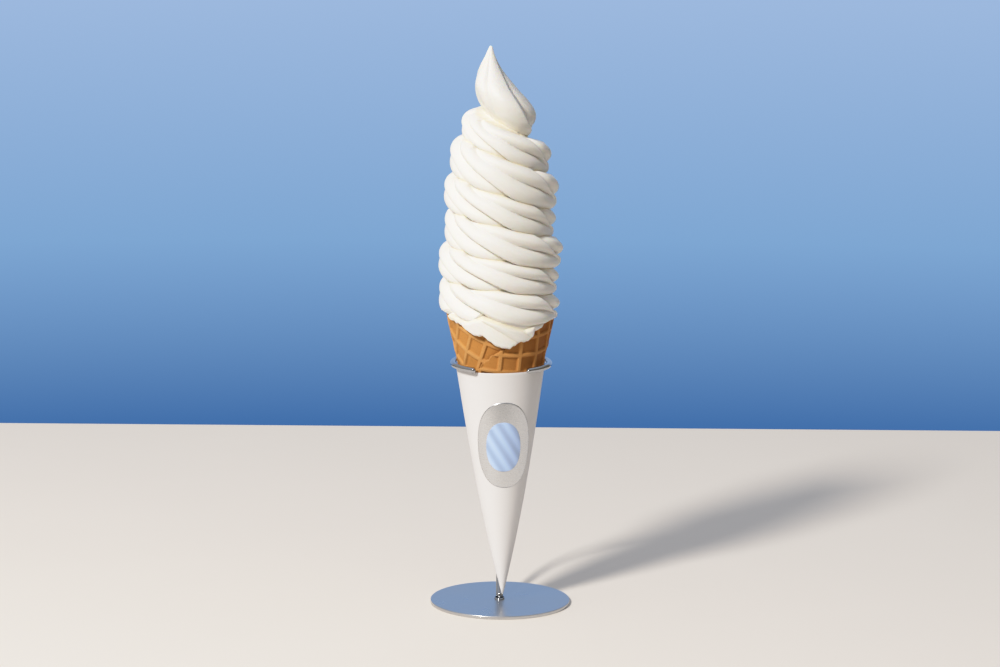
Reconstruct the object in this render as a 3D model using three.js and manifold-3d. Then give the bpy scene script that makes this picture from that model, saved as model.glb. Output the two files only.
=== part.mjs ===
// A tall soft serve swirl in a rolled wafer cone with a paper sleeve, held upright by a wire stand.
// Millimetres, +Z up, the shown side towards -Y. The origin is under the middle of the whole.
import * as THREE from 'three';
import { mergeVertices } from 'three/addons/utils/BufferGeometryUtils.js';
import Module from 'manifold-3d';

const wasm = await Module();
wasm.setup();

const { PI, cos, sin, tan, atan2, hypot, floor, max, min, abs } = Math;
const deg = THREE.MathUtils.degToRad;
const { lerp, clamp } = THREE.MathUtils;

// ---- stand ----
const DISC_RADIUS = 37.5;
const DISC_THICKNESS = 1.8;
const DISC_BEVEL = 0.3;
const ROD_DIAMETER = 3.9;
const ROD_X = -0.3;
const ROD_BOW = 46.5; // how far the rod bows out behind the middle of the disc
const RING_WIRE = 3.0;
const RING_RADIUS = 25.7; // to the wire's centre line
const RING_HEIGHT = 131.6;
const RING_X = -0.4;
const RING_OPENING = deg(70); // the gap at the front

// ---- cone: a straight axis that leans a little back and to the left ----
const CONE_TIP = new THREE.Vector3(1.25, -6, 6);
const CONE_AT_RING = new THREE.Vector3(-0.9, -1.2, RING_HEIGHT);
const SLEEVE_LENGTH = 123.4;
const SLEEVE_PAPER = 0.45;
const SLEEVE_RIM_RADIUS = 23.45;
const SLEEVE_BULGE = 1.75; // how far the side swells past a straight cone
const SLEEVE_STATIONS = [0.05, 0.18, 0.42, 0.7, 1]; // where its side changes slope
const CONE_SEGMENTS = 40;
const WAFER_START = 6; // the wafer's own tip above the sleeve's tip
const WAFER_TAPER = 0.22; // radius per height above the sleeve
const WAFER_APEX = 20.4; // where that taper would come to a point
const WAFER_LAYER = 1.8;
const WAFER_WALL = 3.9;
const WAFER_RIM = 150.6;
const RIM_TILT = deg(2.4); // the rim is higher on the left
const RIB_RISE = 0.8;
const RIB_CREST = 1.1;
const RIB_FOOT = 2.6;
const RIB_PITCH_ALONG = 9.7;
const RIB_PITCH_ROUND = 10.4;
const RIB_TURN = deg(6.5); // how the baked grid is turned on the unrolled wafer

// ---- soft serve ----
const SWIRL_FIRST_NOTCH = 146;
// how much the notch between two coils rises in each half turn, right to left, then left to right
const HALF_TURN_RISES = [
	4, 4.2, 4.1, 10.6, 8.8, 5.7, 11.9, 3.6, 15.6, 0.2, 17.3, 0.4, 19.5, -2, 15.5, 3.4, 10.4,
];
// how far the coil reaches out from the axis at each half turn
const REACHES = [
	22.1, 29.4, 30.7, 34.1, 30.1, 34.4, 32.2, 31.3, 28.2, 31.7, 29.6, 28.7, 25.5, 22.5, 13.2, 11.8,
];
// half of the rope's width, which changes over the last half turns
const ROPE_THINS_FROM = 10;
const ROPE_HALF_WIDTHS = [9.7, 12.4, 12.3, 8.9, 9.1];
const ROPE_OVERLAP = 1.126; // how much taller the rope is than the step between coils
const ROPE_SQUARENESS = 2.7; // at 2 its section would be an ellipse
// the nozzle's furrows: where each runs (degrees round, degrees up the rope's face) and its depth there
const FURROWS = [
	[[109, -88, 2.7], [136, -46, 3.6], [160, -8, 3.3], [190, 24, 2.7], [216, 75, 2.2]],
	[[70, -78, 3.8], [100, -34, 4.2], [118, -11, 4.2], [148, 28, 3.7], [180, 75, 2.5]],
	[[-12, -30, 0], [8, -27, 1.3], [25, -13, 3.8], [44, 1, 4.2], [75, 17, 3.6], [117, 46, 1.8], [136, 75, 1.3]],
	[[-50, -75, 3.4], [-27, -34, 3.8], [-3, -13, 4.4], [19, 5, 4.8], [33, 29, 4.6], [52, 78, 3.1]],
	[[-95, -75, 3.4], [-60, -25, 3.4], [-20, 25, 3.4], [12, 75, 3.4]],
	[[-155, -75, 3.4], [-120, -25, 3.4], [-80, 25, 3.4], [-45, 75, 3.4]],
	[[-205, -75, 3.4], [-170, -25, 3.4], [-130, 25, 3.4], [-92, 75, 3.4]],
];
// how wide the lower and the upper side of each are, as shares of these widths
const FURROW_SPREADS = [[1, 1], [1, 1], [1, 1.1], [0.6, 1.6], [1, 1], [1, 1], [1, 1]];
const FURROW_ABOVE = deg(20); // half width of a furrow's steep upper side
const FURROW_BELOW = deg(40); // and of its gentle lower side
// the free lower edge of the lowest coil: degrees round since the swirl's start, and height
const LOWEST_EDGE = [
	[0, 156], [90, 155.2], [180, 156.2], [213, 157.2], [241, 156.2], [262, 158.6], [290, 161.7],
	[299, 158.8], [324, 160.9], [347, 161], [360, 158.5],
];
const COLUMNS_PER_TURN = 30;
const FACE_ROWS = 10;
const SWIRL_START = 1; // half turns
const SWIRL_END = 14.2;
const PEAK_TILT = 0.45; // the peak's rings rise this much to the left
const PEAK_RINGS = [ // height, offset to the right and radius
	[257, 2.9, 9.5], [262.3, 2.2, 14.2], [267, 1.7, 16.7], [272.5, 0.9, 17.2], [277.4, -0.7, 14.9],
	[281.2, -2.6, 12], [285.1, -4.2, 9], [289, -5.6, 6.2], [293, -6.5, 3.8], [297, -6.9, 2], [300.2, -6.9, 0.7],
];
// depth as a share of the radius, half width on the left and right, and the turn at each ring
const PEAK_GROOVES = [
	[0.3, deg(17), deg(105), [96, 78, 58, 45, 40, 41, 46, 54, 64, 74, 82]],
	[0.12, deg(20), deg(40), [-60, -68, -80, -90, -92, -88, -80, -70, -60, -55, -50]],
	[0.16, deg(20), deg(40), [160, 152, 140, 128, 122, 120, 124, 130, 138, 144, 148]],
	[0.14, deg(20), deg(40), [232, 224, 212, 200, 194, 192, 198, 206, 214, 220, 224]],
];
const PEAK_SIDES = 24;
// the tongue: degrees round from the front, where its thick part begins and where it ends below the rim
const TONGUE = [
	[-63, -1.6, -0.8], [-57, -1.3, 0.9], [-49, -0.9, 1.8], [-37, 0, 4.2], [-31, -0.5, 5.8], [-25, -2.2, 7.5],
	[-17, -2.8, 7.2], [-11, -1.9, 9.7], [-3, -0.7, 12.3], [4, 0.5, 13.2], [10, 1.5, 13.7], [17, 2.4, 11.6],
	[22, 2.9, 9.7], [31, 2.5, 9.5], [36, 1.7, 7.6], [39, 1.3, 4.5], [48, 0.4, 3.1], [60, -1.4, 0.6],
	[68, -2.5, -0.6],
];
const TONGUE_THICKNESS = 2.8;

// ---------------------------------------------------------------- helpers

/** Turns a three.js geometry into a manifold solid. */
function solid(geometry) {
	geometry.deleteAttribute('normal');
	geometry.deleteAttribute('uv');
	const merged = mergeVertices(geometry, 1e-4);
	const index = merged.index.array;
	const triangles = [];
	for (let i = 0; i < index.length; i += 3) {
		const [a, b, c] = [index[i], index[i + 1], index[i + 2]];
		if (a !== b && b !== c && c !== a) triangles.push(a, b, c);
	}
	return new wasm.Manifold(new wasm.Mesh({
		numProp: 3,
		vertProperties: new Float32Array(merged.attributes.position.array),
		triVerts: new Uint32Array(triangles),
	}));
}

/** Turns a manifold solid back into a three.js geometry. */
function geometryOf(body) {
	const mesh = body.getMesh();
	const geometry = new THREE.BufferGeometry();
	geometry.setAttribute('position', new THREE.BufferAttribute(new Float32Array(mesh.vertProperties), 3));
	geometry.setIndex(new THREE.BufferAttribute(new Uint32Array(mesh.triVerts), 1));
	return geometry;
}

/** Moves every vertex of a geometry by a function of its position. */
function reshape(geometry, move) {
	const position = geometry.attributes.position;
	const v = new THREE.Vector3();
	for (let i = 0; i < position.count; i++) {
		move(v.fromBufferAttribute(position, i));
		position.setXYZ(i, v.x, v.y, v.z);
	}
	return geometry;
}

/** A body of revolution about +Z from [radius, height] pairs that start and end on the axis. */
function lathe(profile, segments) {
	const points = profile.map(([r, z]) => new THREE.Vector2(r, z));
	return new THREE.LatheGeometry(points, segments).rotateX(PI / 2);
}

/** Bends a capsule that lies along Y so that it follows a flat curve. */
function bend(capsule, curve, binormal) {
	const length = curve.getLength();
	return reshape(capsule, (v) => {
		const s = clamp(v.y / length + 0.5, 0, 1);
		const along = curve.getTangentAt(s);
		const across = new THREE.Vector3().crossVectors(along, binormal);
		const rest = v.y - (s - 0.5) * length;
		const { x, z } = v;
		v.copy(curve.getPointAt(s)).addScaledVector(along, rest);
		v.addScaledVector(across, x).addScaledVector(binormal, z);
	});
}

/** A smooth curve through values given at 0, 1, 2, ... */
function through(values, at) {
	const i = clamp(floor(at), 0, values.length - 2);
	const f = at - i;
	const [a, b, c, d] = [-1, 0, 1, 2].map((k) => values[clamp(i + k, 0, values.length - 1)]);
	return b + 0.5 * f * (c - a + f * (2 * a - 5 * b + 4 * c - d + f * (3 * (b - c) + d - a)));
}

/** Reads one column of a table of rows in between its rows, by its first column. */
function between(rows, at, column) {
	const n = clamp(rows.findIndex((row) => row[0] > at) - 1, 0, rows.length - 2);
	const [low, high] = at < rows.at(-1)[0] ? [rows[n], rows[n + 1]] : [rows.at(-1), rows.at(-1)];
	return lerp(low[column], high[column], clamp((at - low[0]) / (high[0] - low[0] || 1), 0, 1));
}

/** The section of a groove between two arched lobes: 1 at its bottom, 0 past its reach on each side. */
const crease = (away, left, right) => max(0, 1 - abs(away) / (away > 0 ? right : left)) ** 2;

// ---------------------------------------------------------------- stand

function makeDisc() {
	return solid(lathe([
		[0, 0], [DISC_RADIUS, 0], [DISC_RADIUS, DISC_THICKNESS - DISC_BEVEL],
		[DISC_RADIUS - DISC_BEVEL, DISC_THICKNESS], [0, DISC_THICKNESS],
	], 64));
}

class RingCurve extends THREE.Curve {
	getPoint(t, target = new THREE.Vector3()) {
		const angle = -PI / 2 + RING_OPENING / 2 + t * (2 * PI - RING_OPENING);
		const x = RING_X + RING_RADIUS * cos(angle);
		return target.set(x, ringY + RING_RADIUS * sin(angle), RING_HEIGHT);
	}
}

function makeRing() {
	const curve = new RingCurve();
	const capsule = new THREE.CapsuleGeometry(RING_WIRE / 2, curve.getLength(), 2, 9, 40);
	return solid(bend(capsule, curve, new THREE.Vector3(0, 0, 1)));
}

/** The rod leaves the middle of the disc backwards, bows out behind and comes forward to the ring. */
function makeRod() {
	const back = ringY + RING_RADIUS + RING_WIRE / 2 + ROD_DIAMETER / 2 - 1.2;
	const path = [
		[1, 2.2], [0.47 * ROD_BOW, 20], [0.83 * ROD_BOW, 36], [0.98 * ROD_BOW, 54],
		[ROD_BOW, 74], [0.95 * ROD_BOW, 94], [0.79 * ROD_BOW, 113], [back, RING_HEIGHT - 1.5],
	];
	const curve = new THREE.CatmullRomCurve3(path.map(([y, z]) => new THREE.Vector3(ROD_X, y, z)));
	const capsule = new THREE.CapsuleGeometry(ROD_DIAMETER / 2, curve.getLength(), 2, 9, 30);
	const weld = new THREE.CylinderGeometry(0.58 * ROD_DIAMETER, 0.72 * ROD_DIAMETER, 1.4, 16);
	weld.rotateX(PI / 2).scale(1, 1.45, 1).translate(ROD_X, 0.4, DISC_THICKNESS);
	return solid(bend(capsule, curve, new THREE.Vector3(1, 0, 0))).add(solid(weld));
}

// ---------------------------------------------------------------- cone

const coneAxis = CONE_AT_RING.clone().sub(CONE_TIP).normalize();
const coneLean = new THREE.Quaternion().setFromUnitVectors(new THREE.Vector3(0, 0, 1), coneAxis);
const ringY = CONE_AT_RING.y - 0.5;

/** Puts a shape that stands on its tip at the origin onto the leaning cone axis. */
function ontoCone(geometry) {
	return geometry.applyQuaternion(coneLean).translate(CONE_TIP.x, CONE_TIP.y, CONE_TIP.z);
}

/** Radius of the sleeve's outside at a distance from its tip. */
function sleeveRadius(h) {
	const f = h / SLEEVE_LENGTH;
	return 0.35 + (SLEEVE_RIM_RADIUS - 0.35) * f + SLEEVE_BULGE * sin(PI * f ** 0.85);
}

function makeSleeve() {
	const outside = [[sleeveRadius(0), 0]], inside = [];
	for (const f of SLEEVE_STATIONS) {
		const h = f * SLEEVE_LENGTH;
		outside.push([sleeveRadius(h), h]);
		inside.unshift([sleeveRadius(h) - SLEEVE_PAPER, h]);
	}
	const profile = [[0, -0.2], ...outside, ...inside, [0, 0.04 * SLEEVE_LENGTH]];
	return solid(ontoCone(lathe(profile, CONE_SEGMENTS)));
}

/** Radius of the rolled wafer above the sleeve, before its layers and ribs. */
const waferRadius = (h) => WAFER_TAPER * (h - WAFER_APEX);

/** The wafer's core: plain inside the sleeve, then the surface that the baked layer lies on. */
function makeWaferCore(inset, from) {
	const plain = [], top = WAFER_RIM + 12;
	for (const f of SLEEVE_STATIONS) {
		const h = f * SLEEVE_LENGTH;
		if (h > from) plain.push([sleeveRadius(h) - SLEEVE_PAPER - 0.08 - inset, h]);
	}
	const joint = SLEEVE_LENGTH + 0.4;
	const layer = inset + (inset > 0 ? 0 : WAFER_LAYER + 0.1);
	return solid(ontoCone(lathe([
		[0, from], ...plain, [waferRadius(joint) - layer, joint], [waferRadius(top) - layer, top], [0, top],
	], CONE_SEGMENTS)));
}

/** The wafer's baked face above the sleeve: a slab with raised ribs, rolled up as a spiral. */
function makeBakedLayer(fromTurn, toTurn) {
	const slope = Math.atan(WAFER_TAPER);
	const nearest = (SLEEVE_LENGTH + 0.4 - WAFER_APEX) / cos(slope) - 6;
	const farthest = (WAFER_RIM + 3 - WAFER_APEX) / cos(slope) + 6;
	const ribs = [-RIB_FOOT / 2, -RIB_CREST / 2, RIB_CREST / 2, RIB_FOOT / 2];
	const rise = [0, 1, 1, 0];
	const vertices = [], triangles = [], known = new Map();
	const unrolled = (i, j) => {
		const a = 105.5 + RIB_PITCH_ALONG * floor(i / 4) + ribs[((i % 4) + 4) % 4];
		const b = -12.6 + RIB_PITCH_ROUND * floor(j / 4) + ribs[((j % 4) + 4) % 4];
		const x = a * cos(RIB_TURN) - b * sin(RIB_TURN), y = a * sin(RIB_TURN) + b * cos(RIB_TURN);
		return { out: hypot(x, y), turn: atan2(y, x) / sin(slope) };
	};
	const vertex = (i, j, side) => {
		const key = `${i},${j},${side}`;
		if (!known.has(key)) {
			const { out, turn } = unrolled(i, j);
			const rib = max(rise[((i % 4) + 4) % 4], rise[((j % 4) + 4) % 4]);
			const spiral = WAFER_LAYER * (0.5 - turn / (2 * PI));
			const lift = spiral + (side ? RIB_RISE * (rib - 1) : -2.9);
			const r = out * sin(slope) + lift * cos(slope);
			const z = WAFER_APEX + out * cos(slope) - lift * sin(slope);
			known.set(key, vertices.length / 3);
			vertices.push(r * sin(turn), -r * cos(turn), z);
		}
		return known.get(key);
	};
	const inside = (i, j) => {
		const { out, turn } = unrolled(i, j);
		return out > nearest && out < farthest && turn > fromTurn && turn < toTurn;
	};
	const quad = (a, b, c, d) => triangles.push(a, b, c, a, c, d);
	for (let i = -80; i < 60; i++) for (let j = -20; j < 80; j++) {
		if (!inside(i, j)) continue;
		const ring = [[i, j], [i + 1, j], [i + 1, j + 1], [i, j + 1]];
		quad(...ring.map(([p, q]) => vertex(p, q, 1)).reverse());
		quad(...ring.map(([p, q]) => vertex(p, q, 0)));
		const next = [[i, j - 1], [i + 1, j], [i, j + 1], [i - 1, j]];
		next.forEach(([p, q], k) => {
			if (inside(p, q)) return;
			const [u, v] = [ring[k], ring[(k + 1) % 4]];
			quad(vertex(...v, 0), vertex(...u, 0), vertex(...u, 1), vertex(...v, 1));
		});
	}
	const geometry = new THREE.BufferGeometry();
	geometry.setAttribute('position', new THREE.Float32BufferAttribute(vertices, 3));
	geometry.setIndex(triangles);
	return solid(ontoCone(geometry));
}

/** Cuts the outer end of the wafer along its slanting edge at the front. */
function flapCutter() {
	const box = new THREE.BoxGeometry(80, 40, 80);
	box.translate(-40, -32, 0).rotateY(deg(44)).translate(1.5, 0, 134.5);
	return solid(ontoCone(box));
}

function makeWafer() {
	const outer = makeBakedLayer(deg(-70), deg(225)).subtract(flapCutter());
	const inner = makeBakedLayer(deg(200), deg(420));
	const above = new THREE.CylinderGeometry(60, 60, 60, 24).rotateX(PI / 2);
	above.translate(0, 0, WAFER_RIM + 30).rotateY(RIM_TILT);
	const below = new THREE.CylinderGeometry(60, 60, 60, 24).rotateX(PI / 2);
	below.translate(0, 0, SLEEVE_LENGTH + 0.4 - 30);
	const face = outer.add(inner).subtract(solid(ontoCone(below)));
	const hollow = makeWaferCore(WAFER_WALL, WAFER_START + 16);
	return makeWaferCore(0, WAFER_START).add(face).subtract(solid(ontoCone(above))).subtract(hollow);
}

// ---------------------------------------------------------------- soft serve

const notches = [SWIRL_FIRST_NOTCH];
for (const rise of HALF_TURN_RISES) notches.push(notches.at(-1) + rise);

/** The rope after a number of half turns: centre, half width and half height. */
function ropeAt(half) {
	const low = through(notches, half), high = through(notches, half + 2);
	const wide = through(ROPE_HALF_WIDTHS, clamp(half - ROPE_THINS_FROM, 0, 4));
	const tall = (high - low) / 2 * ROPE_OVERLAP;
	return { half, out: through(REACHES, half) - wide, up: (low + high) / 2, wide, tall };
}

/** How far the rope's face is from its middle, as a share of its half width and height. */
function squarish(face) {
	const sum = abs(cos(face)) ** ROPE_SQUARENESS + abs(sin(face)) ** ROPE_SQUARENESS;
	return sum ** (-1 / ROPE_SQUARENESS);
}

/** How deep the nozzle's furrows are at a place on the rope's face. */
function furrowDepth(face, half) {
	let depth = 0;
	for (const [n, furrow] of FURROWS.entries()) {
		const first = furrow[0][0], last = furrow.at(-1)[0], middle = (first + last) / 2;
		const turns = Math.round((180 * half - middle) / 360);
		const at = 180 * half - 360 * turns;
		if (at <= first || at >= last) continue;
		const away = face - deg(between(furrow, at, 1));
		const [lower, upper] = FURROW_SPREADS[n];
		depth += between(furrow, at, 2) * crease(away, lower * FURROW_BELOW, upper * FURROW_ABOVE);
	}
	return depth;
}

/** Distance from the axis and height of a place on the rope's face. */
function onRope({ half, out, up, wide, tall }, face) {
	const size = squarish(face), depth = furrowDepth(face, half);
	return [out + (wide * size - depth) * cos(face), up + (tall * size - depth) * sin(face)];
}

/** The place on the rope's smooth face that is at a height. */
function faceAtHeight({ up, tall }, z) {
	let [low, high] = [deg(-78), deg(60)];
	for (let n = 0; n < 26; n++) {
		const face = (low + high) / 2;
		if (up + tall * squarish(face) * sin(face) < z) low = face; else high = face;
	}
	return low;
}

/** Whether a point is outside a rope. */
function isClear(r, z, { half, out, up, wide, tall }) {
	const [x, y] = [(r - out) / wide, (z - up) / tall], face = atan2(y, x);
	const cut = furrowDepth(face, half) * (cos(face) ** 2 / wide + sin(face) ** 2 / tall);
	return hypot(x, y) > squarish(face) - cut;
}

/** The place on the lower rope's face at which it disappears under the next coil. */
function whereCovered(lower, upper) {
	let [free, covered] = [0, deg(85)];
	for (let n = 0; n < 26; n++) {
		const face = (free + covered) / 2;
		if (isClear(...onRope(lower, face), upper)) free = face; else covered = face;
	}
	return free;
}

/** The coils as one solid: a strip that winds up, closed to the axis below and above. */
function makeCoils() {
	const columns = Math.round((SWIRL_END - SWIRL_START) / 2 * COLUMNS_PER_TURN);
	const vertices = [0, 0, SWIRL_FIRST_NOTCH - 6, 0, 0, through(notches, SWIRL_END) + 14];
	const triangles = [];
	// a coil's lowest row is the top row of the coil one turn below
	const at = (i, j) => (j === 0 && i >= COLUMNS_PER_TURN
		? at(i - COLUMNS_PER_TURN, FACE_ROWS) : 2 + i * (FACE_ROWS + 1) + j);
	for (let i = 0; i <= columns; i++) {
		const half = SWIRL_START + 2 * i / COLUMNS_PER_TURN;
		const rope = ropeAt(half);
		let from = faceAtHeight(rope, between(LOWEST_EDGE, 180 * (half - SWIRL_START), 1)), to = deg(86);
		if (i >= COLUMNS_PER_TURN) {
			const below = ropeAt(half - 2);
			const [r, z] = onRope(below, whereCovered(below, rope));
			from = atan2((z - rope.up) / rope.tall, (r - rope.out) / rope.wide);
		}
		if (i <= columns - COLUMNS_PER_TURN) to = whereCovered(rope, ropeAt(half + 2));
		for (let j = 0; j <= FACE_ROWS; j++) {
			const [r, z] = onRope(rope, lerp(from, to, j / FACE_ROWS));
			vertices.push(r * cos(half * PI), -r * sin(half * PI), z);
		}
	}
	for (let i = 0; i < columns; i++) {
		for (let j = 0; j < FACE_ROWS; j++) {
			const [a, b, c, d] = [at(i, j), at(i + 1, j), at(i + 1, j + 1), at(i, j + 1)];
			triangles.push(a, c, b, a, d, c);
		}
		if (i < COLUMNS_PER_TURN) triangles.push(0, at(i, 0), at(i + 1, 0));
		if (i >= columns - COLUMNS_PER_TURN) triangles.push(1, at(i + 1, FACE_ROWS), at(i, FACE_ROWS));
	}
	for (let j = 0; j < FACE_ROWS; j++) {
		triangles.push(0, at(0, j + 1), at(0, j), 1, at(columns, j), at(columns, j + 1));
	}
	const geometry = new THREE.BufferGeometry();
	geometry.setAttribute('position', new THREE.Float32BufferAttribute(vertices, 3));
	geometry.setIndex(triangles);
	return solid(geometry);
}

/** The drawn-out tail: rings that tilt, shrink and wander to the left, with twisting grooves. */
function makePeak() {
	const profile = [[0, 0], ...PEAK_RINGS.map((_, n) => [1, n]), [0, PEAK_RINGS.length - 1]];
	return solid(reshape(lathe(profile, PEAK_SIDES), (v) => {
		const n = Math.round(v.z);
		const [height, right, radius] = PEAK_RINGS[n];
		const turn = atan2(v.x, -v.y);
		let r = radius;
		for (const [depth, left, right, turns] of PEAK_GROOVES) {
			const away = turn - deg(turns[n]) - 2 * PI * Math.round((turn - deg(turns[n])) / (2 * PI));
			const groove = crease(away, left, right);
			r -= radius * depth * (away < 0 ? groove ** 0.5 : groove) * clamp(n / 1.5, 0, 1);
		}
		v.set(right + v.x * r, v.y * r, height - PEAK_TILT * v.x * r);
	}));
}

/** The tongue that hangs over the rim at the front, thick in the middle and rounded at its lip. */
function makeTongue() {
	const steps = 26, rows = 6, start = TONGUE[0][0], end = TONGUE.at(-1)[0];
	const vertices = [], triangles = [];
	const at = (i, j, side) => (i * (rows + 1) + j) * 2 + side;
	for (let i = 0; i <= steps; i++) for (let j = 0; j <= rows; j++) for (let side = 0; side < 2; side++) {
		const place = lerp(start, end, i / steps), turn = deg(place), f = j / rows;
		const top = between(TONGUE, place, 1), drop = between(TONGUE, place, 2);
		const down = -6.5 + (drop + 6.5) * (1 - (1 - f) ** 1.3);
		const h = WAFER_RIM - tan(RIM_TILT) * waferRadius(WAFER_RIM) * sin(turn) - down;
		const fade = clamp(min(place - start, end - place) / 30, 0, 1) * clamp((drop - top) / 6, 0.25, 1);
		const thick = 0.6 + (TONGUE_THICKNESS - 0.6) * fade;
		const rounding = (inside, reach) => (1 - (1 - clamp(inside / reach, 0, 1)) ** 2) ** 0.5;
		const lip = (0.4 + (thick - 0.4) * rounding(down - top, 2.4)) * rounding(drop - down, 2.6);
		const curl = 8 * clamp(1 - (down + 6.5) / 5, 0, 1) ** 1.2 + 1.3 * max(min(top, -0.8) - down, 0);
		const spiral = WAFER_LAYER * (0.5 - turn / (2 * PI));
		const r = waferRadius(h) - curl + (side ? lip + spiral : -2.2);
		vertices.push(r * sin(turn), -r * cos(turn), h);
	}
	const quad = (a, b, c, d) => triangles.push(a, b, c, a, c, d);
	for (let i = 0; i < steps; i++) for (let j = 0; j < rows; j++) {
		quad(at(i, j, 1), at(i, j + 1, 1), at(i + 1, j + 1, 1), at(i + 1, j, 1));
		quad(at(i + 1, j, 0), at(i + 1, j + 1, 0), at(i, j + 1, 0), at(i, j, 0));
	}
	for (let i = 0; i < steps; i++) {
		quad(at(i, 0, 0), at(i, 0, 1), at(i + 1, 0, 1), at(i + 1, 0, 0));
		quad(at(i, rows, 1), at(i, rows, 0), at(i + 1, rows, 0), at(i + 1, rows, 1));
	}
	for (let j = 0; j < rows; j++) {
		quad(at(0, j, 0), at(0, j + 1, 0), at(0, j + 1, 1), at(0, j, 1));
		quad(at(steps, j, 1), at(steps, j + 1, 1), at(steps, j + 1, 0), at(steps, j, 0));
	}
	const geometry = new THREE.BufferGeometry();
	geometry.setAttribute('position', new THREE.Float32BufferAttribute(vertices, 3));
	geometry.setIndex(triangles);
	return solid(ontoCone(geometry));
}

function makeSoftServe(wafer) {
	const filling = makeWaferCore(WAFER_WALL - 0.6, WAFER_START + 14);
	const under = new THREE.CylinderGeometry(22, 22, 24, 24).rotateX(PI / 2).translate(-0.8, 0, 150);
	const whole = makeCoils().add(makePeak()).add(makeTongue()).add(solid(under)).add(filling);
	// the rim cuts off a crumb or two, which are left out
	return whole.subtract(wafer).decompose().reduce((a, b) => (a.volume() > b.volume() ? a : b));
}

// ---------------------------------------------------------------- assembly

const look = (name, color, roughness, metalness = 0) => (
	new THREE.MeshStandardMaterial({ name, color, roughness, metalness }));
const finish = {
	satinSteel: look('satin_steel', 0x8a9199, 0.35, 1),
	brightSteel: look('bright_steel', 0xb9bec4, 0.12, 1),
	paper: look('sleeve_paper', 0xe9e7ea, 0.7),
	wafer: look('wafer', 0xc07f3e, 0.65),
	softServe: look('soft_serve', 0xf6f1e4, 0.45),
};

const disc = makeDisc();
const ring = makeRing();
const rod = makeRod().subtract(disc).subtract(ring);
const wafer = makeWafer();
const softServe = makeSoftServe(wafer);

const model = new THREE.Group();
model.name = 'soft_serve_cone';
const add = (name, body, material) => {
	const mesh = new THREE.Mesh(geometryOf(body), material.clone());
	mesh.name = name;
	model.add(mesh);
};
add('stand_disc', disc, finish.satinSteel);
add('stand_rod', rod, finish.brightSteel);
add('stand_ring', ring, finish.brightSteel);
add('paper_sleeve', makeSleeve(), finish.paper);
add('wafer_cone', wafer, finish.wafer);
add('soft_serve', softServe, finish.softServe);

const box = new THREE.Box3().setFromObject(model);
const middle = box.getCenter(new THREE.Vector3());
for (const mesh of model.children) mesh.geometry.translate(-middle.x, -middle.y, -box.min.z);

export default model;
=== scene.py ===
"""A tall soft serve swirl in a rolled wafer cone with a paper sleeve, held upright by a steel wire stand.

Sizes in the shape tables are millimetres from the middle of the disc's underside, +Z up and the shown side
towards -Y. Meshes are written in metres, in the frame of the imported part.
"""

import bpy
import numpy as np
from mathutils import Matrix, Vector
from math import atan, cos, pi, radians, sin


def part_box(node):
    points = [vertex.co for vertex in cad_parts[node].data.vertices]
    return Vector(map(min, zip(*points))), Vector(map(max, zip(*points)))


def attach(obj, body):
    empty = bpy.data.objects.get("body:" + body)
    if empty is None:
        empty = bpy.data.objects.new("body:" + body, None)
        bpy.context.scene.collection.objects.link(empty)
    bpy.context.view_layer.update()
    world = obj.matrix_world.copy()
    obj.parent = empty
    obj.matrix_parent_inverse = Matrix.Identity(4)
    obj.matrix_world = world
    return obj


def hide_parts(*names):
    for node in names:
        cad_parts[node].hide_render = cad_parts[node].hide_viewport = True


bl_info = {
    "name": "Soft Serve Cone",
    "version": (1, 0, 0),
    "blender": (4, 5, 0),
    "location": "3D View > Sidebar > Soft Serve",
    "description": "Builds a soft serve cone in its stand, piece by piece",
    "category": "Add Mesh",
}

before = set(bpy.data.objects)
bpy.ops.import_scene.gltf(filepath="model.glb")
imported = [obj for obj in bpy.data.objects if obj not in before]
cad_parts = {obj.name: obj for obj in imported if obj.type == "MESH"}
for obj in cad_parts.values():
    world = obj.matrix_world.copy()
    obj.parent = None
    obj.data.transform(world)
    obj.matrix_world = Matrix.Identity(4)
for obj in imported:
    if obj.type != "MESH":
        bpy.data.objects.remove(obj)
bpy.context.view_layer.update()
DISC_LOW, DISC_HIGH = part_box("stand_disc")
DISC_CENTRE = np.array([(DISC_LOW.x + DISC_HIGH.x) / 2, (DISC_LOW.y + DISC_HIGH.y) / 2, DISC_LOW.z])
MM = 0.001

# ---------------------------------------------------------------- shape tables, in millimetres

# the rod's line behind the cone: how far back, as a share of the bow, and how high
ROD_PATH = [(0.47, 20), (0.83, 36), (0.98, 54), (1.0, 74), (0.95, 94), (0.79, 113)]
ROD_X = -0.3
ROD_IN_RING = 1.2  # how far the rod is pressed into the ring's wire
RING_X, RING_Y, RING_HEIGHT = -0.4, -1.7, 131.6
CONE_TIP = np.array([1.25, -6.0, 6.0])
CONE_AT_RING = np.array([-0.9, -1.2, RING_HEIGHT])

SLEEVE_TIP_RADIUS = 0.35
# the lap of the sleeve's seam: its height, how far round it reaches (radians) and how soon its edge rises
LAP_RISE, LAP_SPAN, LAP_EDGE = 0.32, 0.45, 0.012

WAFER_TAPER = 0.22  # radius per height above the sleeve
WAFER_APEX = 20.4  # where that taper would come to a point
WAFER_RIM = 150.6
RIM_RADIUS = WAFER_TAPER * (WAFER_RIM - WAFER_APEX)
RIM_TILT = radians(2.4)
WAFER_INSIDE = 7.0  # how far the ribbed sheet reaches down into the sleeve
LAYER_GAP, PAPER_GAP = 0.15, 0.12  # between the wafer's turns, and between it and the paper
# the turns of the rolled sheet: where each starts and ends (degrees), and whether it has the slanting edge
WAFER_TURNS = [("wafer_outer_turn", -38, 228, True), ("wafer_inner_turn", 196, 424, False)]
RIB_PITCH_ALONG, RIB_PITCH_ROUND = 9.7, 10.4
RIB_SHIFT_ALONG, RIB_SHIFT_ROUND = 105.5, -12.6
RIB_TURN = radians(6.5)
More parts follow.
